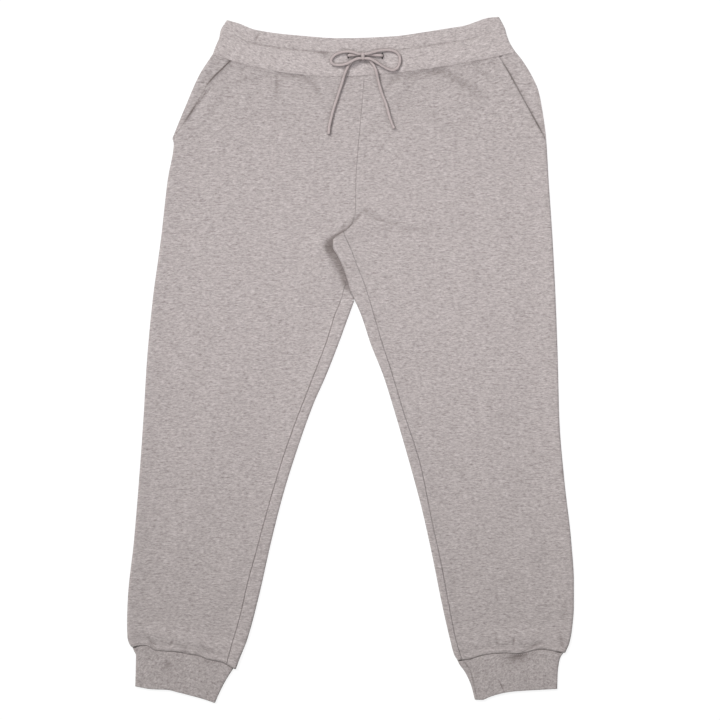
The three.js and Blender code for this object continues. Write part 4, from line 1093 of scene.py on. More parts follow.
# How much painted shade darkens the cord's sides and underside
CORD_SHADE = 0.7
CORD_SIDES = 36
CORD_STEP = 0.4
PLAIT_CORE = 0.86
SQUEEZE = SimpleNamespace(share=0.24, reach=6, inside=1.5, fade=4.5, above=6)
WRAP = SimpleNamespace(radius=2.42, widen=1.28, power=0.75, overlap=0.15, steps=120)
# Rings that close a cord's end: the share of its radius, and how far out each lies
CAP_RINGS = [(0.93, 0.35), (0.75, 0.62), (0.4, 0.78), (0.04, 0.82)]
EYELETS = {
    "right": SimpleNamespace(x=-3.3, y=456.3),
    "left": SimpleNamespace(x=47.7, y=456.0),
}
KNOT_FACE = KNOT.width / 2 + SEAM_GAP

# Places where the cord runs: x, y, and how far it is held over the cloth
LEAD_RIGHT = [
    (-2.2, 456.4, 1.25), (0.5, 456.5, 1.5), (4, 456.6, 1), (9, 457, 0.3), (12, 457.1, 0.15),
    (BOW_X - KNOT_FACE, 457.1, 0.15),
]
LEAD_LEFT = [
    (46.6, 456, 1.25), (43.5, 456.2, 1.5), (38, 456.6, 0.8), (32, 457, 0.3), (26, 457.2, 0.15),
    (BOW_X + KNOT_FACE, 457.2, 0.15),
]
LOOP_RIGHT = [
    (BOW_X - KNOT_FACE, 457.9, 5.5), (11.7, 458, 5.5), (4, 460.7, 4.7), (-6, 461.8, 2.4),
    (-14.5, 460.6, 0.6), (-22.5, 457.2, 0), (-28, 451.8, 0), (-28.8, 446.6, 0), (-25.5, 443.2, 0),
    (-19, 441.8, 0.4), (-9.5, 442.6, 2.4), (-1, 445.3, 5), (6, 449.2, 5.5), (11.7, 451.3, 5.5),
    (BOW_X - KNOT_FACE, 451.4, 5.5),
]
LOOP_LEFT = [
    (BOW_X + KNOT_FACE, 458, 5.5), (25.8, 458.1, 5.5), (33, 460.4, 4.5), (42, 462.8, 2.2),
    (50, 464, 0.6), (58.7, 464.2, 0), (66.8, 462.2, 0), (72.2, 457.5, 0), (74.3, 450.8, 0),
    (73, 442.5, 0), (69, 436.5, 0), (62.7, 434.2, 0), (54.8, 436.6, 0.8), (45, 442, 3),
    (36, 447.6, 5.1), (29.5, 450.6, 5.5), (25.8, 451.3, 5.5), (BOW_X + KNOT_FACE, 451.4, 5.5),
]
TAIL_RIGHT = [
    (BOW_X - KNOT_FACE, 451.6, 0.15), (11.7, 451.5, 0.15), (6.5, 449.6, 0.1), (1, 445.6, 0),
    (-3.5, 439.5, 0.2), (-8.2, 429.5, 1.4), (-11.3, 419.5, 0.4), (-16.5, 403.5, 0.1), (-21, 389.2, 0),
    (-25.5, 375.8, 0), (-28.8, 363, 0), (-31.6, 351, 0), (-32.7, 339, 0),
]
TAIL_LEFT = [
    (BOW_X + KNOT_FACE, 451.6, 0.15), (25.8, 451.3, 0.15), (30.5, 446.8, 0), (35.8, 439.5, 0.1),
    (39, 430.5, 1.1), (41.3, 420, 0.7), (46.8, 400.5, 0.5), (53.3, 384, 0.1), (59.9, 360.6, 0),
    (65.3, 347.3, 0),
]
# The end inside the buttonhole, below the first place of each lead
INTO_RIGHT = [(-3.3, 456.3, -5.5), (-3.1, 456.3, -2.2)]
INTO_LEFT = [(47.7, 456, -5.5), (47.5, 456, -2.2)]


def cloth_top(x, y):
    """Height of the cloth's top face, the highest within a cord's width."""
    reach = CORD_DIAMETER / 2
    heights = []
    for dx, dy in ((0, 0), (reach, 0), (-reach, 0), (0, reach), (0, -reach)):
        px, py = x + dx, y + dy
        half = RIGHT if px < middle_x(py) else LEFT
        on_band = py > float(waist_y(px)) - 1
        cloth = float(top_height(half, px, py, fine=False)) + CLOTH / 2
        heights.append(BAND_TOP_HEIGHT if on_band else cloth)
    return max(heights)


def cord_places(*routes):
    """Centre points of a cord that runs through these routes in turn."""
    return np.array([
        (x, y, cloth_top(x, y) + CORD_DIAMETER / 2 + CORD_CLEARANCE + over)
        for route in routes for x, y, over in route
    ])


def between(knots, t, low, high, first, second):
    """The place at t on the way from first, at one knot, to second, at another."""
    return ((knots[high] - t) * first + (t - knots[low]) * second) / (knots[high] - knots[low])


def smooth_path(points, step):
    """Points a step apart on a smooth curve through points."""
    padded = np.vstack([2 * points[0] - points[1], points, 2 * points[-1] - points[-2]])
    path = []
    for k in range(len(points) - 1):
        p = padded[k : k + 4]
        knots = np.concatenate([[0], np.cumsum(np.sqrt(np.linalg.norm(np.diff(p, axis=0), axis=1)))])
        t = np.linspace(knots[1], knots[2], 24, endpoint=False)[:, None]
        a = [between(knots, t, i, i + 1, p[i], p[i + 1]) for i in range(3)]
        b = [between(knots, t, i, i + 2, a[i], a[i + 1]) for i in range(2)]
        path.append(between(knots, t, 1, 2, b[0], b[1]))
    dense = np.vstack([*path, points[-1:]])
    travel = np.concatenate([[0], np.cumsum(np.linalg.norm(np.diff(dense, axis=0), axis=1))])
    at = np.linspace(0, travel[-1], math.ceil(travel[-1] / step) + 1)
    return np.stack([np.interp(at, travel, dense[:, k]) for k in range(3)], -1), at


def plait(around, along):
    """Relief of a round plait: yarns that wind both ways and pass over and under each other."""
    cord = bpy.context.scene.joggers_cord
    turns = 2 * math.pi * along / (cord.plait_pitch / MM)
    yarns = cord.yarns / 2
    one = np.abs(np.cos(yarns * around / 2 + yarns * turns / 2))
    other = np.abs(np.cos(yarns * around / 2 - yarns * turns / 2))
    over = 0.5 + 0.5 * np.sin(yarns * around) * np.sin(yarns * turns)
    return mix(one, other, smooth(over)) ** 0.8


def cord_tube(name, path, travel, radius, side_scale=1.0, closed=False):
    """A plaited tube along a path. Side_scale widens it across the upright direction."""
    sides = CORD_SIDES
    ahead = np.roll(path, -1, axis=0) - np.roll(path, 1, axis=0) if closed else np.gradient(path, axis=0)
    ahead /= np.linalg.norm(ahead, axis=1)[:, None]
    reference = np.array([1.0, 0.0, 0.0]) if closed else np.array([0.0, 0.0, 1.0])
    across = np.cross(ahead, reference)
    across /= np.maximum(1e-6, np.linalg.norm(across, axis=1))[:, None]
    for k in range(1, len(across)):
        if np.linalg.norm(np.cross(ahead[k], reference)) < 0.3:
            across[k] = across[k - 1] - ahead[k] * np.dot(across[k - 1], ahead[k])
            across[k] /= np.linalg.norm(across[k])
    upward = np.cross(across, ahead)
    around = 2 * np.pi * np.arange(sides) / sides
    relief = plait(around[None, :], travel[:, None])
    r = np.broadcast_to(radius, (len(path),))[:, None] * (PLAIT_CORE + (1 - PLAIT_CORE) * relief)
    points = path[:, None, :] + across[:, None, :] * (r * np.cos(around))[..., None]
    points = points + upward[:, None, :] * (r * side_scale * np.sin(around))[..., None]
    # Painted shade on the cord's sides and underside, where it meets the cloth; the end caps get half
    facing_up = (points[..., 2] - path[:, None, 2]) / np.linalg.norm(points - path[:, None, :], axis=2)
    shade = (CORD_SHADE * smooth((0.85 - facing_up) / 0.6)).ravel()
    rings = len(path)
    index = np.arange(rings * sides).reshape(rings, sides)
    next_side = np.roll(index, -1, axis=1)
    if closed:
        next_ring = np.roll(index, -1, axis=0)
        faces = np.stack([index, next_side, np.roll(next_side, -1, axis=0), next_ring], -1).reshape(-1, 4)
        flat = points.reshape(-1, 3)
    else:
        faces = np.stack([index[:-1], next_side[:-1], next_side[1:], index[1:]], -1).reshape(-1, 4)
        flat, faces = capped(points, faces, index)
    uv_ring = np.stack(np.broadcast_arrays(around[None, :] * float(np.mean(radius)), travel[:, None]), -1)
    uv = uv_ring.reshape(-1, 2)
    extra = len(flat) - len(uv)
    uv = np.vstack([uv, np.repeat(uv[-1:], extra, axis=0)])
    shade = np.concatenate([shade, np.full(extra, CORD_SHADE / 2)])
    return quad_mesh(name, flat, faces, uv, shade)


def capped(points, faces, index):
    """Closes both ends of a tube with rounded caps of shrinking rings."""
    sides = index.shape[1]
    flat, all_faces = [points.reshape(-1, 3)], [faces]
    count = index.size
    ends = [(points[0], points[1], index[0], True), (points[-1], points[-2], index[-1], False)]
    for ring, next_ring, previous, flipped in ends:
        centre = ring.mean(0)
        outward = centre - next_ring.mean(0)
        outward = outward / np.linalg.norm(outward)
        for scale, push in CAP_RINGS:
            flat.append(centre + (ring - centre) * scale + outward * push)
            current = count + np.arange(sides)
            count += sides
            quads = np.stack([previous, np.roll(previous, -1), np.roll(current, -1), current], -1)
            all_faces.append(quads[:, ::-1] if flipped else quads)
            previous = current
        low = np.arange(sides // 2 - 1)
        closing = np.stack([previous[low], previous[low + 1], previous[-2 - low], previous[-1 - low]], -1)
        all_faces.append(closing[:, ::-1] if flipped else closing)
    return np.vstack(flat), np.vstack(all_faces)


def strand(name, routes):
    """One half of the drawstring, from its buttonhole through the bow to its free end."""
    path, travel = smooth_path(cord_places(*routes), CORD_STEP)
    from_knot = np.abs(path[:, 0] - BOW_X) + np.maximum(0, np.abs(path[:, 1] - BOW_Y) - SQUEEZE.reach)
    squeeze = 1 - smooth((from_knot - SQUEEZE.inside) / SQUEEZE.fade)
    squeeze = np.where(path[:, 2] > SQUEEZE.above, squeeze, 0)
    radius = CORD_DIAMETER / 2 * (1 - SQUEEZE.share * squeeze)
    return cord_tube(name, path, travel, radius), path


def bow_wrap():
    """The turn of cord round the middle of the bow."""
    half_length = KNOT.length / 2 - CORD_DIAMETER / 2 + WRAP.overlap
    half_height = KNOT.height / 2 - CORD_DIAMETER / 2 + WRAP.overlap
    centre_z = BAND_TOP_HEIGHT + SEAM_GAP + KNOT.height / 2
    angle = np.linspace(0, 2 * np.pi, WRAP.steps, endpoint=False)
    y = BOW_Y + half_length * np.sign(np.cos(angle)) * np.abs(np.cos(angle)) ** WRAP.power
    z = centre_z + half_height * np.sign(np.sin(angle)) * np.abs(np.sin(angle)) ** WRAP.power
    path = np.stack([np.full_like(y, BOW_X), y, z], -1)
    travel = np.cumsum(np.linalg.norm(path - np.roll(path, 1, axis=0), axis=1))
    return cord_tube("cord_wrap", path, travel, WRAP.radius, side_scale=WRAP.widen, closed=True)


# Node groups and materials

def new_group(name, inputs, outputs):
    """An empty shader node group. Its sockets are numbers, or vectors where an input has no default."""
    group = bpy.data.node_groups.new(name, "ShaderNodeTree")
    for label, default in inputs.items():
        kind = "NodeSocketVector" if default is None else "NodeSocketFloat"
        socket = group.interface.new_socket(name=label, in_out="INPUT", socket_type=kind)
        if default is not None:
            socket.default_value = default
    for label in outputs:
        group.interface.new_socket(name=label, in_out="OUTPUT", socket_type="NodeSocketFloat")
    return group, group.nodes.new("NodeGroupInput").outputs, group.nodes.new("NodeGroupOutput").inputs


class Wiring:
    """Short ways to add and link nodes in a tree."""

    def __init__(self, tree):
        self.tree = tree

    def node(self, kind, values=None, **settings):
        made = self.tree.nodes.new(kind)
        for key, value in settings.items():
            setattr(made, key, value)
        for socket, value in (values or {}).items():
            if isinstance(value, bpy.types.NodeSocket):
                self.tree.links.new(value, made.inputs[socket])
            else:
                made.inputs[socket].default_value = value
        return made

    def link(self, output, target):
        self.tree.links.new(output, target)

    def group(self, tree, values):
        return self.node("ShaderNodeGroup", values, node_tree=tree).outputs

    def hollow(self):
        """How dark the painted shade that the mesh carries is."""
        return self.node("ShaderNodeAttribute", attribute_name="hollow").outputs["Fac"]

    def relief(self, height, strength, distance):
        values = {"Height": height, "Strength": strength, "Distance": distance}
        return self.node("ShaderNodeBump", values).outputs[0]

    def surface(self, values):
        """The shader of a material, linked to its output."""
        shader = self.node("ShaderNodeBsdfPrincipled", values)
        self.node("ShaderNodeOutputMaterial", {0: shader.outputs[0]})
        return shader

    def math(self, operation, a, b=0.0, c=0.0):
        return self.node("ShaderNodeMath", {0: a, 1: b, 2: c}, operation=operation).outputs[0]

    def offset(self, vector, by):
        return self.node("ShaderNodeVectorMath", {0: vector, 1: by}, operation="ADD").outputs[0]

    def stretch(self, vector, scale):
        values = {0: vector, 1: scale}
        return self.node("ShaderNodeVectorMath", values, operation="MULTIPLY").outputs[0]

    def noise(self, vector, scale, detail=2.0, roughness=0.5):
        values = {"Vector": vector, "Scale": scale, "Detail": detail, "Roughness": roughness}
        return self.node("ShaderNodeTexNoise", values, noise_dimensions="3D").outputs["Fac"]

    def centred(self, vector, scale, detail=2.0, roughness=0.5):
        """Noise around zero."""
        return self.math("SUBTRACT", self.noise(vector, scale, detail, roughness), 0.5)

    def total(self, parts):
        """The sum of values, each times its weight."""
        weighted = [self.math("MULTIPLY", value, weight) for value, weight in parts]
        summed = weighted[0]
        for part in weighted[1:]:
            summed = self.math("ADD", summed, part)
        return summed

    def ramp(self, value, low, high, to_low=0.0, to_high=1.0):
        values = {"Value": value, "From Min": low, "From Max": high, "To Min": to_low, "To Max": to_high}
        return self.node("ShaderNodeMapRange", values, interpolation_type="SMOOTHSTEP").outputs["Result"]

    def blend(self, factor, first, second):
        """A colour between two. Sockets 0, 6 and 7 are the factor and the two colours."""
        values = {0: factor, 6: first, 7: second}
        return self.node("ShaderNodeMix", values, data_type="RGBA", clamp_factor=True).outputs[2]


def heather_group():
    """Melange of light and dark fibres, in short streaks along the courses of the knit."""
    sizes = {"Vector": None, "Streak Length": 5.0, "Streak Height": 1.8, "Contrast": 1.0}
    group, given, result = new_group("heather_fibres", sizes, ["Light", "Dark", "Cloud"])
    w = Wiring(group)
    per_length = w.math("DIVIDE", 1.0 / MM, given["Streak Length"])
    per_height = w.math("DIVIDE", 1.0 / MM, given["Streak Height"])
    scale = w.node("ShaderNodeCombineXYZ", {"X": per_length, "Y": per_height, "Z": 1.0}).outputs[0]
    sway = w.math("MULTIPLY", w.centred(given["Vector"], 60.0), 0.006)
    sway = w.node("ShaderNodeCombineXYZ", {"Y": sway}).outputs[0]
    streaks = w.stretch(w.offset(given["Vector"], sway), scale)
    strands = w.stretch(given["Vector"], (1 / 0.0011, 1 / 0.00028, 1.0))
    patches = w.stretch(w.offset(streaks, (3.0, 71.0, 5.0)), (0.42, 0.42, 1.0))
    runs = w.stretch(w.offset(streaks, (7.0, 43.0, 9.0)), (0.35, 1.0, 1.0))
    tone = w.total([
        (w.centred(streaks, 1.0, 2.0, 0.55), 3.0),
        (w.centred(w.offset(streaks, (31.0, 17.0, 3.0)), 2.1, 2.0, 0.6), 1.7),
        (w.centred(strands, 1.0, 2.0, 0.6), 1.5),
        (w.centred(patches, 1.0), 1.3),
        (w.centred(runs, 1.0), 1.3),
    ])
    tone = w.math("MULTIPLY", tone, given["Contrast"])
    w.link(w.node("ShaderNodeClamp", {0: tone}).outputs[0], result["Light"])
    w.link(w.node("ShaderNodeClamp", {0: w.math("MULTIPLY", tone, -0.78)}).outputs[0], result["Dark"])
    w.link(w.noise(given["Vector"], 34.0, 3.0, 0.55), result["Cloud"])
    return group


def knit_group():
    """Height of a fine jersey face: columns of V stitches."""
    sizes = {"Vector": None, "Wale": 0.9, "Course": 0.72}
    group, given, result = new_group("jersey_stitches", sizes, ["Height"])
    w = Wiring(group)
    parts = w.node("ShaderNodeSeparateXYZ", {0: given["Vector"]}).outputs
    warp = w.math("MULTIPLY", w.centred(given["Vector"], 400.0, 1.0), 0.0006)
    u = w.math("DIVIDE", w.math("ADD", parts[0], warp), w.math("MULTIPLY", given["Wale"], MM))
    v = w.math("DIVIDE", parts[1], w.math("MULTIPLY", given["Course"], MM))
    from_wale = w.math("ABSOLUTE", w.math("SUBTRACT", w.math("FRACT", u), 0.5))
    slanted = w.math("ADD", v, w.math("MULTIPLY", from_wale, 1.3))
    leg = w.math("SINE", w.math("MULTIPLY", slanted, 2 * math.pi))
    side = w.math("SINE", w.math("MULTIPLY", w.math("FRACT", w.math("MULTIPLY", u, 2.0)), math.pi))
    yarn = w.math("MULTIPLY", w.math("ADD", w.math("MULTIPLY", leg, 0.5), 0.5), side)
    w.link(yarn, result["Height"])
    return group


def new_material(name):
    """A material with an empty node tree, and the wiring of that tree."""
    material = bpy.data.materials.new(name)
    material.use_nodes = True
    material.node_tree.nodes.clear()
    return material, Wiring(material.node_tree)


def cloth_material(name, light, body, dark, groups, wale, course, streak, contrast, fuzz, bump):
    """Heather jersey: three fibre colours, knit relief, a fibrous surface, a soft sheen, painted
    shade between the stitches and painted shade in the hollows."""
    material, w = new_material(name)
    vector = w.node("ShaderNodeUVMap", uv_map="cloth").outputs[0]
    heather = w.group(groups.heather, {
        "Vector": vector, "Streak Length": streak[0], "Streak Height": streak[1], "Contrast": contrast,
    })
    knit = w.group(groups.knit, {"Vector": vector, "Wale": wale, "Course": course})["Height"]
    colour = w.blend(heather["Light"], body, light)
    colour = w.blend(heather["Dark"], colour, dark)
    colour = w.blend(w.ramp(heather["Cloud"], 0.3, 0.7, 0.0, 0.08), colour, dark)
    # Painted shade between the knit's stitches, where its height is low
    colour = w.blend(w.ramp(knit, 0.0, 0.35, 0.26, 0.0), colour, dark)
    # Colour of the painted shade in creases, seams, slits and the valley beside the pleat
    painted_shade_colour = (0.26 * dark[0], 0.2 * dark[1], 0.165 * dark[2], 1.0)
    colour = w.blend(w.hollow(), colour, painted_shade_colour)
    fibres = w.noise(w.stretch(vector, (1.0, 1.6, 1.0)), 1400.0, 3.0, 0.7)
    height = w.total([(knit, 0.6), (fibres, 0.5)])
    w.surface({
        "Base Color": colour, "Roughness": w.ramp(fibres, 0.3, 0.7, 0.86, 1.0),
        "Normal": w.relief(height, bump, 0.0006),
        "Specular IOR Level": 0.25, "Sheen Weight": fuzz, "Sheen Roughness": 0.55,
        "Sheen Tint": (1.0, 0.97, 0.95, 1.0),
    })
    return material


def plait_group():
    """Height of a round plait: yarns that wind both ways and pass over and under each other."""
    sizes = {"Vector": None, "Yarn Width": 1.96, "Yarn Length": 2.0}
    group, given, result = new_group("round_plait", sizes, ["Height"])
    w = Wiring(group)
    parts = w.node("ShaderNodeSeparateXYZ", {0: given["Vector"]}).outputs
    around = w.math("MULTIPLY", w.math("DIVIDE", parts[0], given["Yarn Width"]), math.pi / MM)
    along = w.math("MULTIPLY", w.math("DIVIDE", parts[1], given["Yarn Length"]), math.pi / MM)
    one = w.math("ABSOLUTE", w.math("COSINE", w.math("ADD", around, along)))
    other = w.math("ABSOLUTE", w.math("COSINE", w.math("SUBTRACT", around, along)))
    weave = w.math("MULTIPLY", w.math("SINE", w.math("MULTIPLY", around, 2.0)),
                   w.math("SINE", w.math("MULTIPLY", along, 2.0)))
    over = w.ramp(weave, -1.0, 1.0)
    under = w.math("SUBTRACT", 1.0, over)
    yarn = w.math("ADD", w.math("MULTIPLY", one, under), w.math("MULTIPLY", other, over))
    w.link(yarn, result["Height"])
    return group


def cord_material(name, colour, groups):
    """Cotton plait: yarn tones that follow the cord, with fine fibres, painted shade in the grooves between
    yarns and painted shade on its sides.
    """
    material, w = new_material(name)
    vector = w.node("ShaderNodeUVMap", uv_map="cloth").outputs[0]
    heather = w.group(groups.heather, {"Vector": vector, "Streak Length": 1.1, "Streak Height": 3.0})
    plaited = w.group(groups.plait, {"Vector": vector})["Height"]
    darker = paler(colour, 0.72)
    tone = w.blend(heather["Light"], colour, paler(colour, 1.18))
    tone = w.blend(w.math("MULTIPLY", heather["Dark"], 0.5), tone, darker)
    # Painted shade on the cord's sides, from the mesh
    tone = w.blend(w.hollow(), tone, paler(colour, 0.38))
    # Painted shade in the grooves between the plait's yarns
    tone = w.blend(w.ramp(plaited, 0.25, 0.75, 0.42, 0.0), tone, darker)
    fibres = w.noise(vector, 2600.0, 2.0, 0.6)
    height = w.math("ADD", w.math("MULTIPLY", fibres, 0.2), plaited)
    w.surface({
        "Base Color": tone, "Roughness": w.ramp(fibres, 0.3, 0.7, 0.7, 0.88),
        "Normal": w.relief(height, 0.7, 0.0004),
        "Specular IOR Level": 0.3, "Sheen Weight": 0.15, "Sheen Roughness": 0.4,
    })
    return material


def plain_material(name, colour, roughness, grain, spread):
    """A finish with a slight grain, for thread, the painted shade inside a slot and the floor."""
    material, w = new_material(name)
    speck = w.noise(w.node("ShaderNodeTexCoord").outputs["Object"], grain)
    tone = w.blend(w.ramp(speck, 0.35, 0.65), paler(colour, 1 - spread), colour)
    shader = w.surface({"Base Color": tone, "Roughness": roughness, "Specular IOR Level": 0.25})
    return material, shader


# Near-black colour of a slot: painted shade for the inside of a buttonhole
SLOT_SHADE_COLOUR = (0.055, 0.048, 0.046, 1.0)
SHARED = {}


def shared(key, make):
    """Something that several operators use, made once."""
    if key not in SHARED:
        SHARED[key] = make()
    return SHARED[key]


def groups():
    return shared("groups", lambda: SimpleNamespace(
        heather=heather_group(), knit=knit_group(), plait=plait_group()))


def paler(colour, times):
    return tuple(min(1.0, times * c) for c in colour[:3]) + (1.0,)


def heather_cloth(name, tone, **weave):
    """A cloth of the chosen fibres, made paler or darker by tone, with its own knit and streaks."""
    finish = bpy.context.scene.joggers_cloth
    fibres = [paler(fibre, tone) for fibre in (finish.light_fibre, finish.body_fibre, finish.dark_fibre)]
    return shared(name, lambda: cloth_material(name, *fibres, groups(), fuzz=finish.fuzz, **weave))


def fleece():
    return heather_cloth(
        "heather_fleece", 1.0, wale=0.9, course=0.72, streak=(5.2, 1.9), contrast=1.12, bump=0.55)


def band_cloth():
    return heather_cloth(
        "heather_band", 1.1, wale=0.8, course=0.66, streak=(4.4, 2.1), contrast=1.1, bump=0.5)


def rib_cloth():
    return heather_cloth(
        "heather_rib", 0.97, wale=0.85, course=0.7, streak=(3.2, 2.8), contrast=1.14, bump=0.5)


def thread():
    colour = bpy.context.scene.joggers_seams.thread_colour
    return shared("thread", lambda: plain_material("cotton_thread", colour, 0.75, 900.0, 0.12)[0])


def slot_shade():
    return shared("slot", lambda: plain_material("slot_shade", SLOT_SHADE_COLOUR, 0.95, 600.0, 0.3)[0])


def drawcord():
    colour = bpy.context.scene.joggers_cord.colour
    return shared("cord", lambda: cord_material("cotton_plait", colour, groups()))


# Stitches by geometry nodes

STITCH_SIZES = {"Pitch": 0.003, "Length": 0.0024, "Width": 0.0005, "Turn": 0.0, "Waver": 0.06}
STITCH_SEED = 7
PATH_STEP = 1.5
THREAD_LIFT = 0.12
WAIST_RUN = SimpleNamespace(
    span=(-196.0, 238.0), on_fronts=(-178, 226), left=-207, width=455.3, above=1.5, below=2.4, rounding=1.8)
CHANNEL_RUN = SimpleNamespace(spans=((-194.0, -22.0), (62.0, 230.0)), left=-196, width=430.0)
POCKET_RUN = SimpleNamespace(span=(338.0, 452.0), inward=4.6, lift=0.16)
CUFF_RUN = SimpleNamespace(inset=12, below=1.2, sunk=0.35)
BUTTONHOLE = SimpleNamespace(width=3.6, length=11.4, height=0.55)
SLOT = SimpleNamespace(width=2.3, length=11.0, height=0.32, depth=0.5, shift=0.6)


def stitch_tree():
    """Stitches along a path: short threads laid end to end, each with a slight turn of its own."""
    tree = bpy.data.node_groups.new("stitches_on_path", "GeometryNodeTree")
    face = tree.interface
    face.new_socket(name="Geometry", in_out="INPUT", socket_type="NodeSocketGeometry")
    sockets = {}
    for label, default in STITCH_SIZES.items():
        socket = face.new_socket(name=label, in_out="INPUT", socket_type="NodeSocketFloat")
        socket.default_value = default
        sockets[label] = socket.identifier
    socket = face.new_socket(name="Material", in_out="INPUT", socket_type="NodeSocketMaterial")
    sockets["Material"] = socket.identifier
    face.new_socket(name="Geometry", in_out="OUTPUT", socket_type="NodeSocketGeometry")
    w = Wiring(tree)
    given = w.node("NodeGroupInput").outputs
    path = w.node("GeometryNodeMeshToCurve", {"Mesh": given["Geometry"]}).outputs["Curve"]
    spots = w.node("GeometryNodeCurveToPoints", {"Curve": path, "Length": given["Pitch"]}, mode="LENGTH")
    ball = w.node("GeometryNodeMeshUVSphere", {"Segments": 6, "Rings": 5, "Radius": 0.5}).outputs["Mesh"]
    size = {"X": given["Length"], "Y": given["Width"], "Z": given["Width"]}
    size = w.node("ShaderNodeCombineXYZ", size).outputs[0]
    shaped = w.node("GeometryNodeTransform", {"Geometry": ball, "Scale": size}).outputs[0]
    along = w.node("FunctionNodeAlignRotationToVector", {"Vector": spots.outputs["Tangent"]}, axis="X")
    chance = w.node("FunctionNodeRandomValue", {"Seed": STITCH_SEED}, data_type="FLOAT")
    chance.inputs[2].default_value = -1.0
    chance.inputs[3].default_value = 1.0
    waver = w.math("ADD", w.math("MULTIPLY", chance.outputs[1], given["Waver"]), given["Turn"])
    spin = w.node("FunctionNodeAxisAngleToRotation", {"Axis": (0.0, 0.0, 1.0), "Angle": waver})
    turns = {0: along.outputs[0], 1: spin.outputs[0]}
    turned = w.node("FunctionNodeRotateRotation", turns, rotation_space="LOCAL")
    placed = w.node("GeometryNodeInstanceOnPoints", {
        "Points": spots.outputs["Points"], "Instance": shaped, "Rotation": turned.outputs[0],
    })
    real = w.node("GeometryNodeRealizeInstances", {"Geometry": placed.outputs[0]}).outputs[0]
    soft = w.node("GeometryNodeSetShadeSmooth", {"Geometry": real}).outputs[0]
    done = w.node("GeometryNodeSetMaterial", {"Geometry": soft, "Material": given["Material"]}).outputs[0]
    w.node("NodeGroupOutput", {"Geometry": done})
    return tree, sockets


def stitch_paths(name, paths, material, **sizes):
    """Bakes stitches along paths, given in millimetres as lists of points, into one plain mesh."""
    tree, sockets = shared("stitches", stitch_tree)
    points = [tuple(np.array(point) * MM) for path in paths for point in path]
    edges, start = [], 0
    for path in paths:
        edges += [(k, k + 1) for k in range(start, start + len(path) - 1)]
        start += len(path)
    mesh = bpy.data.meshes.new(name + "_path")
    mesh.from_pydata(points, edges, [])
    carrier = add_object(name + "_path", mesh)
    modifier = carrier.modifiers.new("stitches", "NODES")
    modifier.node_group = tree
    for label, value in sizes.items():
        modifier[sockets[label]] = value
    modifier[sockets["Material"]] = material
    bpy.context.view_layer.update()
    evaluated = carrier.evaluated_get(bpy.context.evaluated_depsgraph_get())
    baked = bpy.data.meshes.new_from_object(evaluated)
    baked.name = name
    bpy.data.objects.remove(carrier)
    bpy.data.meshes.remove(mesh)
    return add_object(name, baked)


def front_top(half, x, y):
    return top_height(half, x, y) + CLOTH / 2


def waist_stitches():
    """Paths of the seam that joins the band: one row on the band's edge and one on the fronts."""
    x = np.arange(*WAIST_RUN.span, PATH_STEP)
    u = (x - WAIST_RUN.left) / WAIST_RUN.width
    band_z = BAND_TOP_HEIGHT + band_rise(u, WAIST_RUN.above / BAND_DEPTH, x, 0)
    band_z = band_z - float(edge_drop(WAIST_RUN.above, WAIST_RUN.rounding)) + THREAD_LIFT
    on_band = np.stack([x, waist_y(x) + WAIST_RUN.above, band_z], -1)
    y = waist_y(x) - WAIST_RUN.below
    cloth_z = np.where(x < middle_x(y), front_top(RIGHT, x, y), front_top(LEFT, x, y)) + THREAD_LIFT
    low, high = WAIST_RUN.on_fronts
    on_cloth = np.stack([x, y, cloth_z], -1)[(x >= low) & (x <= high)]
    return on_band, on_cloth


def channel_stitches():
    """Paths of the drawstring channel's stitches, which stop short of the bow on each side."""
    paths = []
    for low, high in CHANNEL_RUN.spans:
        x = np.arange(low, high, PATH_STEP)
        u = (x - CHANNEL_RUN.left) / CHANNEL_RUN.width
        y = mix(waist_y(x), band_top(x), CHANNEL_LEVEL)
        z = BAND_TOP_HEIGHT + band_rise(u, CHANNEL_LEVEL, x, y) + THREAD_LIFT
        paths.append(np.stack([x, y, z], -1))
    return paths


def pocket_stitches(half):
    """Path of the topstitching along a pocket slit, on the front."""
    y = np.arange(*POCKET_RUN.span, PATH_STEP)
    slope = np.gradient(half.pocket(y), y)
    inward = -half.side * POCKET_RUN.inward
    x = half.pocket(y) + inward * np.sqrt(1 + slope**2)
    keep = y < row_height(WAIST_LINE[half.name], x) - 2
    x, y = x[keep], y[keep]
    return np.stack([x, y, front_top(half, x, y) + POCKET_RUN.lift], -1)


def cuff_stitches(half):
    """Path of the seam that joins a cuff, under the leg's rolled edge."""
    line = CUFF_LINE[half.name]
    low, high = sorted((float(line.outer), float(line.inner)))
    x = np.arange(low + CUFF_RUN.inset, high - CUFF_RUN.inset, PATH_STEP)
    y = cuff_seam_y(half, x) - CUFF_RUN.below
    return np.stack([x, y, np.full_like(x, CUFF_WALL + 2 * CUFF_FOLD_RADIUS - CUFF_RUN.sunk)], -1)


def stadium(cx, cy, width, length, z, steps=16):
    """A closed path with straight sides and round ends, long in y."""
    radius = width / 2
    straight = length / 2 - radius
    top = np.linspace(0, math.pi, steps)
    xs = np.concatenate([radius * np.cos(top), radius * np.cos(top + math.pi)])
    ys = np.concatenate([straight + radius * np.sin(top), -straight + radius * np.sin(top + math.pi)])
    ring = np.stack([cx + xs, cy + ys, np.full_like(xs, z)], -1)
    return np.vstack([ring, ring[:1]])


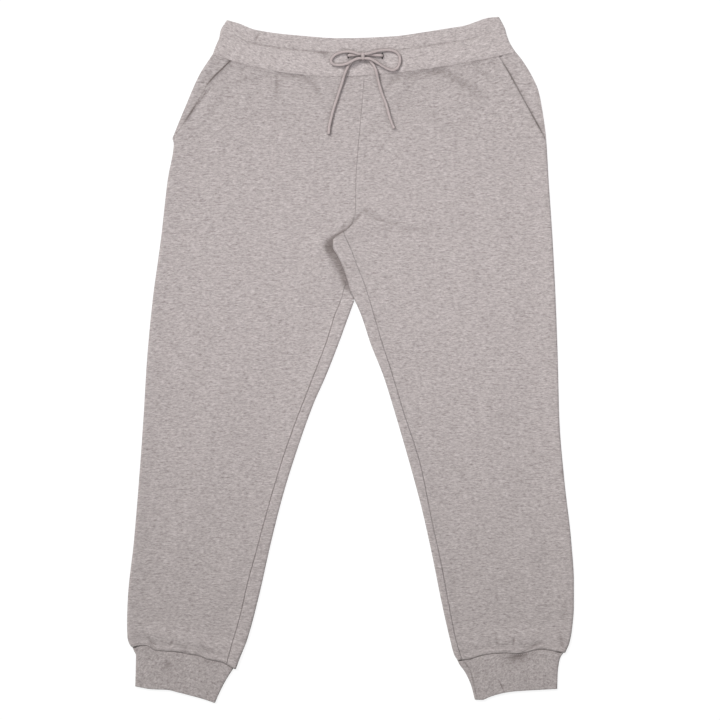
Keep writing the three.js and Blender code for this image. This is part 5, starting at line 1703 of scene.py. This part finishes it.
def buttonhole(name, spot):
    """A worked buttonhole: a dense round of thread about a slot of painted shade."""
    hole = BUTTONHOLE
    path = stadium(spot.x, spot.y, hole.width, hole.length, BAND_TOP_HEIGHT + hole.height)
    thread_ring = stitch_paths(
        f"buttonhole_{name}", [path], thread(),
        Pitch=0.00052, Length=0.0019, Width=0.00055, Turn=QUARTER, Waver=0.08,
    )
    # The slot is a near-black block: painted shade that stands for the shaded inside of the hole
    slot_height = BAND_TOP_HEIGHT + SLOT.height
    outline = stadium(spot.x, spot.y + SLOT.shift, SLOT.width, SLOT.length, slot_height)[:-1]
    count = len(outline)
    points = np.vstack([outline, outline - (0, 0, SLOT.depth)])
    around = np.arange(count)
    after = np.roll(around, -1)
    walls = np.stack([around, after, after + count, around + count], -1)
    low = np.arange(count // 2 - 1)
    lid = np.stack([low, low + 1, count - 2 - low, count - 1 - low], -1)
    faces = np.vstack([walls, lid[:, ::-1], lid + count])
    slot = quad_mesh(f"buttonhole_slot_{name}", points, faces, points[:, :2])
    return thread_ring, slot


# Settings that a user would change

class ClothSettings(bpy.types.PropertyGroup):
    """Colours and surface of the fleece, the band and the cuffs."""

    light_fibre: FloatVectorProperty(
        name="Light fibre", description="Colour of the pale fibres in the heather", subtype="COLOR",
        size=4, min=0, max=1, default=(0.655, 0.602, 0.583, 1.0))
    body_fibre: FloatVectorProperty(
        name="Body fibre", description="Main colour of the cloth", subtype="COLOR",
        size=4, min=0, max=1, default=(0.482, 0.432, 0.416, 1.0))
    dark_fibre: FloatVectorProperty(
        name="Dark fibre", description="Colour of the dark fibres in the heather", subtype="COLOR",
        size=4, min=0, max=1, default=(0.25, 0.217, 0.21, 1.0))
    fuzz: FloatProperty(
        name="Fuzz", description="Strength of the soft sheen of raised fibres",
        subtype="FACTOR", min=0, max=1, default=0.22)
    ripple: FloatProperty(
        name="Ripple", description="Strength of the slow waves in open cloth",
        subtype="FACTOR", min=0, max=2, default=1.0)
    crease: FloatProperty(
        name="Crease", description="Strength of the small creases and dimples",
        subtype="FACTOR", min=0, max=2, default=1.0)
    pucker: FloatProperty(
        name="Pucker", description="Strength of the puckers at the waist and cuff seams",
        subtype="FACTOR", min=0, max=2, default=1.0)
    channel_depth: FloatProperty(
        name="Channel groove", description="Depth of the stitched groove over the drawstring",
        unit="LENGTH", min=0, max=0.002, default=0.0008)
    rib_pitch: FloatProperty(
        name="Rib pitch", description="Distance between the ribs of the cuffs",
        unit="LENGTH", min=0.001, max=0.006, default=0.0021)
    rib_height: FloatProperty(
        name="Rib height", description="Height of the ribs of the cuffs",
        unit="LENGTH", min=0, max=0.001, default=0.00034)


class SeamSettings(bpy.types.PropertyGroup):
    """Sizes and colour of the stitching."""

    pitch: FloatProperty(
        name="Pitch", description="Distance from one stitch to the next",
        unit="LENGTH", min=0.001, max=0.008, default=0.0031)
    length: FloatProperty(
        name="Length", description="Length of one stitch",
        unit="LENGTH", min=0.0005, max=0.006, default=0.0025)
    width: FloatProperty(
        name="Width", description="Width of the thread",
        unit="LENGTH", min=0.0002, max=0.002, default=0.0006)
    thread_colour: FloatVectorProperty(
        name="Thread", description="Colour of the thread", subtype="COLOR",
        size=4, min=0, max=1, default=(0.56, 0.505, 0.49, 1.0))


class CordSettings(bpy.types.PropertyGroup):
    """The drawstring's plait and colour."""

    plait_pitch: FloatProperty(
        name="Plait pitch", description="Length of cord in one full turn of a yarn",
        unit="LENGTH", min=0.005, max=0.04, default=0.016)
    yarns: IntProperty(
        name="Yarns", description="Number of yarns in the plait", min=8, max=32, default=16)
    colour: FloatVectorProperty(
        name="Cord", description="Colour of the drawstring", subtype="COLOR",
        size=4, min=0, max=1, default=(0.475, 0.408, 0.392, 1.0))


class StageSettings(bpy.types.PropertyGroup):
    """Camera, floor and lights."""

    view_width: FloatProperty(
        name="View width", description="Width that the camera sees at the height of the cloth",
        unit="LENGTH", min=0.2, max=4, default=1.08)
    view_x: FloatProperty(
        name="View centre X", description="Place of the view's centre across the garment",
        unit="LENGTH", min=-1, max=1, default=0.01425)
    lens: FloatProperty(
        name="Lens", description="Focal length of the camera",
        unit="CAMERA", min=20, max=300, default=150)
    key_strength: FloatProperty(
        name="Key light",
        description="Strength of the light from beyond the waist, in watts per square metre",
        min=0, max=50, default=2.05)
    fill_power: FloatProperty(
        name="Fill light", description="Power of the broad light overhead",
        unit="POWER", min=0, max=500, default=7.5)
    sky: FloatProperty(
        name="Room light", description="Strength of the even light from all round",
        min=0, max=5, default=0.13)
    floor_colour: FloatVectorProperty(
        name="Floor", description="Colour of the floor", subtype="COLOR",
        size=4, min=0, max=1, default=(0.16, 0.16, 0.16, 1.0))


# The stage's own numbers, in metres, with the camera's sensor in millimetres and the
# spread of the key light in degrees
SENSOR = 36.0
CLOTH_LEVEL = 0.004
VIEW_END = 60.0
FLOOR = SimpleNamespace(reach=9.0, level=-0.0006, glow=0.88)
KEY_LIGHT = SimpleNamespace(direction=(0.40, -0.45, -0.80), spread=20)
FILL_LIGHT = SimpleNamespace(place=(0.02, 0.22, 0.9), size=(1.8, 0.6), colour=(0.995, 0.985, 1.04))


# Operators

class JOGGERS_OT_stage(bpy.types.Operator):
    """Make the floor, the soft lights and the camera that looks straight down"""

    bl_idname = "joggers.stage"
    bl_label = "Stage"

    def execute(self, context):
        stage = context.scene.joggers_stage
        camera_data = bpy.data.cameras.new("camera")
        camera_data.lens = stage.lens
        camera_data.sensor_width = SENSOR
        camera_data.clip_end = VIEW_END
        height = CLOTH_LEVEL + stage.view_width * stage.lens / SENSOR
        context.scene.camera = add_object("camera", camera_data, (stage.view_x, 0.0, height))
        context.scene.view_settings.view_transform = "Standard"

        floor_mesh = bpy.data.meshes.new("floor")
        signs = ((-1, -1), (1, -1), (1, 1), (-1, 1))
        corners = [(x * FLOOR.reach, y * FLOOR.reach, FLOOR.level) for x, y in signs]
        floor_mesh.from_pydata(corners, [], [(0, 1, 2, 3)])
        material, shader = plain_material("pale_floor", stage.floor_colour, 0.9, 3.0, 0.01)
        shader.inputs["Emission Color"].default_value = (1.0, 1.0, 1.0, 1.0)
        shader.inputs["Emission Strength"].default_value = FLOOR.glow
        floor_mesh.materials.append(material)
        floor = add_object("floor", floor_mesh)

        key_data = bpy.data.lights.new("key_light", "SUN")
        key_data.energy = stage.key_strength
        key_data.angle = math.radians(KEY_LIGHT.spread)
        key = add_object("key_light", key_data)
        key.rotation_euler = Vector(KEY_LIGHT.direction).to_track_quat("-Z", "Y").to_euler()
        fill_data = bpy.data.lights.new("fill_light", "AREA")
        fill_data.shape = "RECTANGLE"
        fill_data.size, fill_data.size_y = FILL_LIGHT.size
        fill_data.energy = stage.fill_power
        fill_data.color = FILL_LIGHT.colour
        add_object("fill_light", fill_data, FILL_LIGHT.place)
        world = bpy.data.worlds.new("room")
        world.use_nodes = True
        background = world.node_tree.nodes["Background"]
        background.inputs["Color"].default_value = (1.0, 1.0, 1.0, 1.0)
        background.inputs["Strength"].default_value = stage.sky
        context.scene.world = world
        return {"FINISHED"}


class JOGGERS_OT_drawstring(bpy.types.Operator):
    """Make both halves of the drawstring and the turn that holds their bow"""

    bl_idname = "joggers.drawstring"
    bl_label = "Drawstring"

    def execute(self, context):
        wrap = dress(bow_wrap(), drawcord(), "drawcord", "bow_knot")
        halves = [
            ("right", "left", [INTO_RIGHT, LEAD_RIGHT, LOOP_LEFT, TAIL_RIGHT]),
            ("left", "right", [INTO_LEFT, LEAD_LEFT, LOOP_RIGHT, TAIL_LEFT]),
        ]
        for name, other, routes in halves:
            piece, path = strand(f"cord_{name}", routes)
            dress(piece, drawcord(), "drawcord", f"lead_{name}", f"loop_{other}", f"tail_{name}")
        return {"FINISHED"}


class JOGGERS_OT_buttonholes(bpy.types.Operator):
    """Make the two worked buttonholes that the drawstring comes out of"""

    bl_idname = "joggers.buttonholes"
    bl_label = "Buttonholes"

    def execute(self, context):
        for name, spot in EYELETS.items():
            ring, slot = buttonhole(name, spot)
            dress(ring, thread(), "thread", f"eyelet_{name}")
            dress(slot, slot_shade(), "waist_rib")
        return {"FINISHED"}


class JOGGERS_OT_fronts(bpy.types.Operator):
    """Make the two front panels"""

    bl_idname = "joggers.fronts"
    bl_label = "Fronts"

    def execute(self, context):
        for half in HALVES:
            piece = dress(front_panel(half), fleece(), "fleece", f"front_{half.name}")
        return {"FINISHED"}


class JOGGERS_OT_backs(bpy.types.Operator):
    """Make the two back panels, which roll over the sides and inner legs"""

    bl_idname = "joggers.backs"
    bl_label = "Backs"

    def execute(self, context):
        for half in HALVES:
            piece = dress(back_panel(half), fleece(), "fleece", f"back_{half.name}")
        return {"FINISHED"}


class JOGGERS_OT_pockets(bpy.types.Operator):
    """Make the facings that show in the pocket slits"""

    bl_idname = "joggers.pockets"
    bl_label = "Pockets"

    def execute(self, context):
        for half, area in ((RIGHT, 0.0035), (LEFT, 0.0042)):
            piece = dress(pocket_facing(half), fleece(), "fleece", f"pocket_{half.name}")
        return {"FINISHED"}


class JOGGERS_OT_waistband(bpy.types.Operator):
    """Make the gathered waistband"""

    bl_idname = "joggers.waistband"
    bl_label = "Waistband"

    def execute(self, context):
        piece = dress(waistband(), band_cloth(), "waist_rib", "waistband")
        return {"FINISHED"}


class JOGGERS_OT_cuffs(bpy.types.Operator):
    """Make the two ribbed cuffs"""

    bl_idname = "joggers.cuffs"
    bl_label = "Cuffs"

    def execute(self, context):
        for half in HALVES:
            piece = dress(cuff(half), rib_cloth(), "cuff_rib", f"cuff_{half.name}")
        return {"FINISHED"}


class JOGGERS_OT_stitching(bpy.types.Operator):
    """Stitch the waist seam, the drawstring channel, the pockets and the cuff seams"""

    bl_idname = "joggers.stitching"
    bl_label = "Stitching"

    def execute(self, context):
        seams = context.scene.joggers_seams
        sizes = {"Pitch": seams.pitch, "Length": seams.length, "Width": seams.width}
        runs = {
            "stitches_waist": waist_stitches(),
            "stitches_channel": channel_stitches(),
            "stitches_pocket_right": [pocket_stitches(RIGHT)],
            "stitches_pocket_left": [pocket_stitches(LEFT)],
            "stitches_cuff_right": [cuff_stitches(RIGHT)],
            "stitches_cuff_left": [cuff_stitches(LEFT)],
        }
        for name, paths in runs.items():
            dress(stitch_paths(name, paths, thread(), **sizes), thread(), "thread")
        return {"FINISHED"}


class JOGGERS_PT_panel(bpy.types.Panel):
    """Steps and settings of the joggers"""

    bl_idname = "JOGGERS_PT_panel"
    bl_label = "Jogger Sweatpants"
    bl_space_type = "VIEW_3D"
    bl_region_type = "UI"
    bl_category = "Joggers"

    def draw(self, context):
        layout = self.layout
        for operator in OPERATORS:
            layout.operator(operator.bl_idname)
        for key in SETTINGS:
            settings = getattr(context.scene, key)
            box = layout.box()
            for field in settings.__annotations__:
                box.prop(settings, field)


OPERATORS = (
    JOGGERS_OT_stage, JOGGERS_OT_drawstring, JOGGERS_OT_buttonholes, JOGGERS_OT_backs, JOGGERS_OT_pockets,
    JOGGERS_OT_fronts, JOGGERS_OT_waistband, JOGGERS_OT_cuffs, JOGGERS_OT_stitching,
)
SETTINGS = {
    "joggers_cloth": ClothSettings,
    "joggers_seams": SeamSettings,
    "joggers_cord": CordSettings,
    "joggers_stage": StageSettings,
}


def register():
    for made in (*SETTINGS.values(), *OPERATORS, JOGGERS_PT_panel):
        bpy.utils.register_class(made)
    for key, made in SETTINGS.items():
        setattr(bpy.types.Scene, key, PointerProperty(type=made))


def unregister():
    for key in SETTINGS:
        delattr(bpy.types.Scene, key)
    for made in reversed((*SETTINGS.values(), *OPERATORS, JOGGERS_PT_panel)):
        bpy.utils.unregister_class(made)


def main():
    register()
    for operator in OPERATORS:
        group, action = operator.bl_idname.split(".")
        getattr(getattr(bpy.ops, group), action)()
    bpy.context.view_layer.update()


if __name__ == "__main__":
    main()
